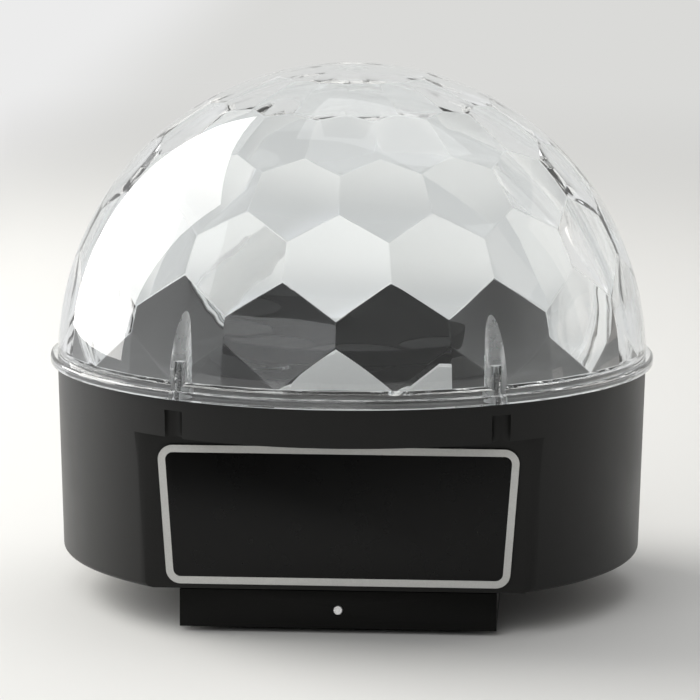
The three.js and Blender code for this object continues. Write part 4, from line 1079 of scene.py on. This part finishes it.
def faceted_room():
    piece = block(
        "faceted_room", (-dome_radius, -dome_radius, room_low - overrun / 2),
        (dome_radius, dome_radius, dome_high.z),
    )
    select_only(piece)
    bpy.ops.object.mode_set(mode="EDIT")
    step = 360 / facets_per_row
    planes = [(foot_facet_angle, (i + 0.5) * step / 2, foot_facet_rise) for i in range(2 * facets_per_row)]
    for row, row_angle in enumerate(facet_row_angles, 1):
        planes += [(row_angle, (i + row % 2 / 2) * step, 0) for i in range(facets_per_row)]
    for rise, around, outset in planes:
        around = (around - 90) * degree
        flat = math.cos(rise * degree)
        normal = Vector((flat * math.cos(around), flat * math.sin(around), math.sin(rise * degree)))
        bpy.ops.mesh.select_all(action="SELECT")
        bpy.ops.mesh.bisect(
            plane_co=Vector((0, 0, dome_centre)) + (facet_distance + outset) * normal, plane_no=normal,
            use_fill=True, clear_outer=True,
        )
    finish_edit()
    return piece


# Clear polystyrene, slightly cool, with faint flow ripples from its moulding
def clear_polystyrene():
    material = new_material("clear_polystyrene")
    tree = material.node_tree
    place = add_node(tree, "ShaderNodeTexCoord").outputs["Object"]
    flow = add_node(tree, "ShaderNodeTexNoise", {"Scale": 1 / (22 * mm), "Detail": 2}, {"Vector": place})
    bump = add_node(
        tree, "ShaderNodeBump", {"Strength": 0.25, "Distance": 0.2 * mm}, {"Height": flow.outputs["Fac"]},
    )
    haze = add_node(
        tree, "ShaderNodeMapRange", {"To Min": 0.0, "To Max": 0.03}, {"Value": flow.outputs["Fac"]},
    )
    shader = add_node(tree, "ShaderNodeBsdfPrincipled", {
        "Base Color": srgb("fbfdfe"), "IOR": 1.59, "Transmission Weight": 1,
    }, {"Roughness": haze.outputs["Result"], "Normal": bump.outputs["Normal"]})
    add_node(tree, "ShaderNodeOutputMaterial", links={"Surface": shader.outputs[0]})
    return material


dome = dome_outside()
facets = faceted_room()
apply_modifier(
    facets, "BEVEL", width=facet_edge, segments=2, limit_method="ANGLE", angle_limit=facet_edge_angle,
)
rabbet_radius = dome_radius - rabbet_wall
rabbet = turned("rabbet", [
    (0, dome_low.z - overrun), (rabbet_radius, dome_low.z - overrun),
    (rabbet_radius, room_low - rabbet_chamfer), (rabbet_radius - rabbet_chamfer, room_low), (0, room_low),
], dome_steps)
for hollow in (rabbet, facets):
    combine_rods(hollow, dome_screws, post_radius, 0, dome_low.z + post_height, 48)
    combine(dome, hollow)
combine_rods(dome, dome_screws, screw_hole_radius, 0, pilot_top)
smooth(dome, angle=4)
finished(dome, clear_polystyrene(), "light", "dome_clear", "dome")
# The posts come off rough core pins, so they look frosted against the polished wall
dome.data.materials.append(surface(
    "frosted_polystyrene_post", ("f6f8f9", "ffffff"), 0.8 * mm, 4 * mm, (0.22, 0.32), 0.01 * mm,
    **{"IOR": 1.59, "Transmission Weight": 0.6},
))
for screw in dome_screws:
    place = middle(screw)
    for face in dome.data.polygons:
        reach = math.hypot(face.center.x - place.x, face.center.y - place.y)
        inside = (face.center - Vector((0, 0, dome_centre))).length < dome_radius - rabbet_wall
        if inside and screw_hole_radius + overrun < reach < post_radius + hairline:
            face.material_index = 1

# Screws: steel pan heads with a cross recess, zinc plated but for the dome's four, which are blackened.
# They hold the dome, cover, heat sink and motor from below, the boards and the wheel from above, and
# the rear panel from behind.
screw_head_radius = 2.5 * mm
screw_head_height = 1.8 * mm
screw_crown = 1.1 * mm
thread_crest = 1.5 * mm
thread_root = 1.15 * mm
thread_pitch = 1 * mm
root_share = 0.3
crest_share = 0.65
screw_tip = 1.2 * mm
recess_width = 0.7 * mm
recess_span = 2.9 * mm
recess_depth = 1.1 * mm
# Zinc plate on turned steel: a grey shine, a little uneven
zinc_plating = surface(
    "zinc_plated_steel_screw", ("a9aaaa", "c4c4c0"), 0.3 * mm, 2 * mm, (0.25, 0.38), 0.01 * mm, Metallic=1,
)


# A screw at the origin: its head hangs below z = 0, and its shank rises from there
def pan_screw(name, length):
    turns = int((length - screw_tip) / thread_pitch)
    thread = [
        (radius, (i + share) * thread_pitch)
        for i in range(turns) for radius, share in ((thread_root, root_share), (thread_crest, crest_share))
    ]
    screw = turned(name, [
        (0, -screw_head_height),
        *arc(screw_head_radius - screw_crown, screw_crown - screw_head_height, screw_crown, -90, 0, 5),
        (screw_head_radius, 0), (thread_root, 0), *thread, (thread_root, turns * thread_pitch),
        (thread_root / 2, length), (0, length),
    ], 32)
    long, short = recess_span / 2, recess_width / 2
    for x, y in ((long, short), (short, long)):
        combine(screw, block(
            "recess", (-x, -y, -screw_head_height - overrun), (x, y, recess_depth - screw_head_height),
        ))
    smooth(screw)
    return screw


def fasten(nodes, body, turn, material=zinc_plating):
    low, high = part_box(nodes[0])
    length = (high.y - low.y if turn == 90 else high.z - low.z) - screw_head_height
    master = pan_screw("screw", length)
    for node in nodes:
        low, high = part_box(node)
        place = middle(node)
        screw = copied(master, f"{node}_steel")
        if turn == 90:
            place.y = high.y - screw_head_height
        elif turn == 180:
            place.z = high.z - screw_head_height
        else:
            place.z = low.z + screw_head_height
        moved(screw, *place, (turn * degree, 0, 0))
        finished(screw, material, body, "screw_steel", node)
    bpy.data.objects.remove(master)


# Black oxide on steel: a dark satin skin
black_oxide = surface(
    "black_oxide_steel_screw", ("1c1c1d", "2a2a2a"), 0.3 * mm, 2 * mm, (0.4, 0.5), 0.01 * mm, IOR=1.8,
)
fasten(dome_screws, "light", 0, black_oxide)
for group in (cover_screws, sink_screws, motor_screws):
    fasten(group, "light", 0)
panel_screws = numbered("panel_screw", 2)
fasten(numbered("board_screw", 2), "light", 180)
fasten(["wheel_screw"], "rotor", 180)
fasten(panel_screws, "light", 90)

# Rear panel: a brushed aluminium plate on the drum's rear flat, which carries the mains inlet, the
# power switch, the mode switch and the sensitivity knob.
panel_corner = 3 * mm
panel_bevel = 0.2 * mm
inlet_low, inlet_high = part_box("inlet_socket")
inlet_middle = middle("inlet_socket")
inlet_width = 27 * mm
inlet_height = 20 * mm
switch_low, switch_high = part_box("power_switch_body")
switch_width = 12.6 * mm
switch_height = 18.6 * mm
mode_middle = middle("mode_switch_body")
mode_travel = 5 * mm
lever_width = 4 * mm
lever_height = 3 * mm
pot_middle = middle("sensitivity_pot")
bushing_radius = 3.5 * mm
level = panel_middle.z


def cutout(half_width, half_height, corner, x):
    return plate(
        "cutout", rounded_outline(half_width + seat_gap, half_height + seat_gap, corner, x, level),
        panel_low.y - overrun, panel_high.y + overrun,
    )


panel = plate("panel", rounded_outline(
    panel_high.x, (panel_high.z - panel_low.z) / 2, panel_corner, 0, level, 10,
), panel_low.y, panel_high.y)
combine(panel, cutout(inlet_width / 2, inlet_height / 2, overrun, inlet_middle.x))
combine(panel, cutout(switch_width / 2, switch_height / 2, overrun, 0))
combine(panel, cutout((mode_travel + lever_width) / 2, lever_height / 2, small_edge, mode_middle.x))
for x, z, radius in (
    (pot_middle.x, pot_middle.z, bushing_radius + seat_gap),
    *((middle(screw).x, middle(screw).z, screw_hole_radius) for screw in panel_screws),
):
    hole = rod("panel_hole", radius, -overrun, panel_high.y - panel_low.y + overrun, 32)
    combine(panel, along_y(hole, x, panel_low.y, z))
soften(panel, panel_bevel)
# Brushed aluminium: fine lines along the panel's width
brushed = surface(
    "brushed_aluminium_panel", ("a3a4a5", "bfc0c1"), 0.12 * mm, 14 * mm, (0.3, 0.42), 0.015 * mm,
    (0.02, 1, 1), Metallic=1,
)
finished(panel, brushed, "light", "panel_plate", "rear_panel")

# Mains inlet: a black nylon socket with two cut corners, pressed into the panel up to its bezel. Its
# three brass pins stand in the cavity.
inlet_bezel = 2.5 * mm
inlet_bezel_thickness = 2 * mm
inlet_wall = 2 * mm
inlet_chamfer = 5 * mm
inlet_body_corner = 0.5 * mm
pin_bevel = 0.5 * mm
bezel_back = inlet_high.y - inlet_bezel_thickness
# Moulded nylon: an even black with a dull gloss
control_black = surface(
    "moulded_nylon_black", ("131313", "1b1b1b"), 0.35 * mm, 10 * mm, (0.42, 0.52), 0.012 * mm, IOR=1.53,
)
inlet = plate("inlet", rounded_outline(
    inlet_width / 2 + inlet_bezel, inlet_height / 2 + inlet_bezel, inlet_bezel, inlet_middle.x, level,
), bezel_back, inlet_high.y)
combine(inlet, plate("inlet_body", rounded_outline(
    inlet_width / 2, inlet_height / 2, inlet_body_corner, inlet_middle.x, level, 3,
), inlet_low.y, bezel_back + small_edge), "UNION")
half_x, half_z = inlet_width / 2 - inlet_wall, inlet_height / 2 - inlet_wall
combine(inlet, plate("inlet_cavity", [(inlet_middle.x + x, level + z) for x, z in (
    (-half_x, -half_z), (half_x, -half_z), (half_x, half_z - inlet_chamfer),
    (half_x - inlet_chamfer, half_z), (inlet_chamfer - half_x, half_z), (-half_x, half_z - inlet_chamfer),
)], inlet_low.y + inlet_wall, inlet_high.y + overrun))
inlet_pins = numbered("inlet_pin", 3)
for pin in inlet_pins:
    low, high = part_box(pin)
    grow = Vector((seat_gap, 0, seat_gap))
    combine(inlet, block("pin_slot", low - grow, high + grow))
soften(inlet)
finished(inlet, control_black, "light", "control_black", "inlet_socket")
# Stamped brass: warm, with fine lines along each pin
brass = surface(
    "stamped_brass_pin", ("b08d45", "c8a659"), 0.2 * mm, 4 * mm, (0.22, 0.34), 0.01 * mm, (1, 0.1, 1),
    Metallic=1,
)
for node in inlet_pins:
    low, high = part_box(node)
    pin = block(f"{node}_brass", low, high)
    soften(pin, pin_bevel, segments=3)
    finished(pin, brass, "light", "pin_brass", node)

# Power switch: a nylon body in the panel, and a rocker that turns on two trunnions. Its dished face
# carries the moulded marks for on and off.
switch_bezel = 1.3 * mm
switch_bezel_thickness = 1.5 * mm
switch_bevel = 0.25 * mm
rocker_width = 9 * mm
rocker_half = 7.2 * mm
rocker_crown = 3.4 * mm
rocker_dish = 1.4 * mm
rocker_depth = 5 * mm
rocker_bevel = 0.35 * mm
rocker_rest = -12 * degree
rocker_axis_depth = 2.2 * mm
trunnion_radius = 1 * mm
trunnion_length = 1 * mm
mark_depth = 0.06 * mm
mark_offset = 12 * degree
bar_half_width = 0.35 * mm
bar_half_height = 1.4 * mm
ring_outer = 1.4 * mm
ring_inner = 1 * mm
rocker_axis_y = switch_high.y - rocker_axis_depth
rocker_swing = math.hypot(rocker_half, rocker_crown)
pocket_half = rocker_swing + seat_gap
pocket_back = rocker_axis_y - math.hypot(rocker_depth, rocker_half / 2) - seat_gap
switch = plate("switch_body", rounded_outline(
    switch_width / 2 + switch_bezel, switch_height / 2 + switch_bezel, switch_bezel, 0, level, 4,
), switch_high.y - switch_bezel_thickness, switch_high.y)
combine(switch, block(
    "switch_block", (-switch_width / 2, switch_low.y, level - switch_height / 2),
    (switch_width / 2, switch_high.y - small_edge, level + switch_height / 2),
), "UNION")
combine(switch, block(
    "pocket", (-rocker_width / 2 - seat_gap, pocket_back, level - pocket_half),
    (rocker_width / 2 + seat_gap, switch_high.y + overrun, level + pocket_half),
))
to_x = (0, math.pi / 2, 0)
bearing = rod("bearing", trunnion_radius + seat_gap, 0, rocker_width + 2 * (trunnion_length + seat_gap), 24)
combine(switch, moved(
    bearing, -rocker_width / 2 - trunnion_length - seat_gap, rocker_axis_y, level, to_x,
))
soften(switch, switch_bevel)
finished(switch, control_black, "light", "control_black", "power_switch_body")


# Turns a piece made about the rocker's own axis to its place at rest
def on_rocker(piece):
    return moved(piece, 0, rocker_axis_y, level, (rocker_rest, 0, 0))


dish_radius = (rocker_half ** 2 + rocker_dish ** 2) / (2 * rocker_dish)
dish_middle = rocker_crown - rocker_dish + dish_radius
dish_reach = math.asin(rocker_half / dish_radius) / degree
corner_angle = math.atan2(rocker_half, rocker_crown) / degree
back_angle = 90 + (90 - corner_angle) / 2
rocker_outline = [
    *arc(dish_middle, 0, dish_radius, 180 + dish_reach, 180 - dish_reach, 12),
    *arc(0, 0, rocker_swing, corner_angle, back_angle, 6),
    (-rocker_depth, rocker_half / 2), (-rocker_depth, -rocker_half / 2),
    *arc(0, 0, rocker_swing, -back_angle, -corner_angle, 6)[:-1],
]
rocker = plate("rocker", rocker_outline, -rocker_width / 2, rocker_width / 2)
turn_about_z(rocker, math.pi / 2)
trunnion = rod("trunnion", trunnion_radius, 0, rocker_width + 2 * trunnion_length, 24)
combine(rocker, moved(trunnion, -rocker_width / 2 - trunnion_length, turn=to_x), "UNION")
soften(rocker, rocker_bevel, segments=3)
# The rocker's nylon comes from a smoother tool, so it is glossier
rocker_gloss = surface(
    "moulded_nylon_rocker", ("121212", "181818"), 0.6 * mm, 8 * mm, (0.3, 0.38), 0.008 * mm, IOR=1.53,
)
finished(on_rocker(rocker), rocker_gloss, "rocker", "control_black", "power_rocker")
# Pad-printed white ink: flat and even
mark_white = surface(
    "pad_printed_white", ("dcdcd8", "e8e8e4"), 0.4 * mm, 3 * mm, (0.45, 0.55), 0.01 * mm, IOR=1.5,
)
bar = block(
    "on_mark", (-bar_half_width, -mark_depth - dish_radius, -bar_half_height),
    (bar_half_width, mark_depth - dish_radius, bar_half_height),
)
circle = rod("off_mark", ring_outer, -mark_depth, mark_depth, 32)
combine(circle, rod("off_mark_tool", ring_inner, -overrun, overrun, 32))
along_y(circle, 0, -dish_radius, 0)
for mark, lean in ((bar, -mark_offset), (circle, mark_offset)):
    moved(mark, y=dish_middle, turn=(lean, 0, 0))
    finished(on_rocker(mark), mark_white, "rocker", "control_black")

# Mode switch: a slide switch fixed behind the panel. Its black nylon lever stands out of the slot, and
# the tip is moulded with three grooves for the finger.
lever_low, lever_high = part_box("mode_slider")
lever_foot_thickness = 1.5 * mm
rib_count = 3
rib_pitch = 1.1 * mm
rib_depth = 0.35 * mm
lever_bevel = 0.12 * mm
lever_middle = middle("mode_slider")
lever = block(
    "lever", (lever_middle.x - lever_width / 2, lever_low.y, lever_middle.z - lever_height / 2),
    (lever_middle.x + lever_width / 2, lever_high.y, lever_middle.z + lever_height / 2),
)
for i in range(rib_count):
    x = lever_middle.x + (i - (rib_count - 1) / 2) * rib_pitch
    combine(lever, block(
        "rib_groove", (x - rib_depth / 2, lever_high.y - rib_depth, lever_low.z),
        (x + rib_depth / 2, lever_high.y + overrun, lever_high.z),
    ))
combine(lever, block(
    "lever_foot", (lever_low.x, lever_low.y, lever_low.z),
    (lever_high.x, lever_low.y + lever_foot_thickness, lever_high.z),
), "UNION")
soften(lever, lever_bevel)
finished(lever, control_black, "mode_lever", "control_black", "mode_slider")
dressed(control_black, solid_bevel, "mode_switch_body")

# Sensitivity control: a potentiometer behind the panel, its shaft, and a knob moulded with sixteen
# grip flutes. A white line on the knob shows its turn, and points low and left at the first end.
knob_low, knob_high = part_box("sensitivity_knob")
knob_radius = 7.5 * mm
knob_crown = 0.8 * mm
flute_count = 16
flute_radius = 1.1 * mm
flute_depth = 0.45 * mm
pot_shaft_radius = 1.6 * mm
bushing_proud = 1.8 * mm
line_width = 0.9 * mm
line_start = 2.6 * mm
line_end = 6.2 * mm
line_angle = 45 * degree
knob_height = knob_high.y - knob_low.y
knob = turned("knob", [
    (0, 0), (knob_radius, 0), *arc(knob_radius - knob_crown, knob_height - knob_crown, knob_crown, 0, 90, 6),
    (knob_radius - 2 * knob_crown, knob_height), (knob_radius - 3 * knob_crown, knob_height - small_edge),
    (0, knob_height - small_edge),
], 96)
for i in range(flute_count):
    combine(knob, turn_about_z(rod(
        "flute", flute_radius, -overrun, knob_height + overrun, 16, knob_radius + flute_radius - flute_depth,
    ), i * 2 * math.pi / flute_count))
shaft_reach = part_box("sensitivity_shaft")[1].y - knob_low.y + seat_gap
combine(knob, rod("knob_bore", pot_shaft_radius + seat_gap, -overrun, shaft_reach, 32))
combine(knob, rod("knob_relief", bushing_radius + seat_gap, -overrun, bushing_proud, 32))
soften(knob, fine_edge, angle=45)
finished(
    along_y(knob, pot_middle.x, knob_low.y, pot_middle.z), control_black, "knob", "control_black",
    "sensitivity_knob",
)
line = block(
    "knob_line", (line_start, -line_width / 2, knob_height - small_edge - mark_depth),
    (line_end, line_width / 2, knob_height - small_edge + mark_depth),
)
turn_about_z(line, line_angle)
finished(along_y(line, pot_middle.x, knob_low.y, pot_middle.z), mark_white, "knob", "control_black")
dressed(zinc_steel, fine_edge, "sensitivity_pot", "sensitivity_shaft")

# Boards: the power supply and the controller lie in the plinth. They are glass-epoxy boards in green
# solder mask, with a taped transformer and a sleeved capacitor on the first.
transformer_low, transformer_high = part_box("transformer")
capacitor_low, capacitor_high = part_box("filter_capacitor")
core_half = 3 * mm
core_bevel = 0.4 * mm
winding_half = 10 * mm
winding_corner = 4 * mm
winding_margin = 2.5 * mm
capacitor_groove = 0.4 * mm
capacitor_groove_rise = 3 * mm
# Green solder mask: glossy, with the faint unevenness of the glass cloth below
green_mask = surface(
    "green_solder_mask", ("174a2c", "1f5f39"), 1.6 * mm, 9 * mm, (0.3, 0.42), 0.02 * mm, IOR=1.55,
)
dressed(green_mask, fine_edge, "power_board", "control_board")
transformer_middle = middle("transformer")
core = block(
    "transformer_core",
    (transformer_low.x, transformer_middle.y - core_half, transformer_low.z),
    (transformer_high.x, transformer_middle.y + core_half, transformer_high.z),
)
soften(core, core_bevel)
# Sintered ferrite: dark grey and dull
ferrite = surface(
    "sintered_ferrite_core", ("2a2a2b", "37373a"), 0.4 * mm, 5 * mm, (0.5, 0.65), 0.03 * mm, IOR=1.9,
)
finished(core, ferrite, "light", "winding_tape", "transformer")
transformer_half = (transformer_high.z - transformer_low.z) / 2
winding_reach = transformer_half - winding_margin
winding = plate(
    "transformer_winding", rounded_outline(winding_half, winding_half, winding_corner),
    -winding_reach, winding_reach,
)
core_room = core_half + seat_gap
combine(winding, block(
    "core_room", (-winding_half - overrun, -transformer_half, -core_room),
    (winding_half + overrun, transformer_half, core_room),
))
moved(winding, *transformer_middle, (math.pi / 2, 0, 0))
soften(winding)
# Polyester tape: amber, with fine bands where its turns lie over each other
tape = surface(
    "polyester_winding_tape", ("b8902c", "cba23c"), 0.5 * mm, 6 * mm, (0.3, 0.45), 0.03 * mm,
    (0.1, 0.1, 2), IOR=1.5,
)
finished(winding, tape, "light", "winding_tape")
capacitor_radius = (capacitor_high.x - capacitor_low.x) / 2
capacitor_place = middle("filter_capacitor")
groove_height = capacitor_low.z + capacitor_groove_rise
capacitor = turned("capacitor", [
    (0, capacitor_low.z), (capacitor_radius - capacitor_groove, capacitor_low.z),
    (capacitor_radius, capacitor_low.z + capacitor_groove),
    *arc(capacitor_radius + capacitor_groove, groove_height, capacitor_groove * 2, 240, 120, 6),
    *arc(capacitor_radius - capacitor_groove, capacitor_high.z - capacitor_groove, capacitor_groove, 0, 90),
    (capacitor_radius - 2 * capacitor_groove, capacitor_high.z - capacitor_groove),
    (0, capacitor_high.z - capacitor_groove),
], 48)
# Shrunk PVC sleeve: smooth dark blue
sleeve = surface(
    "shrunk_pvc_sleeve", ("15243f", "1c2f52"), 0.5 * mm, 6 * mm, (0.3, 0.4), 0.01 * mm, IOR=1.54,
)
smooth(capacitor)
finished(
    moved(capacitor, capacitor_place.x, capacitor_place.y), sleeve, "light", "capacitor_sleeve",
    "filter_capacitor",
)
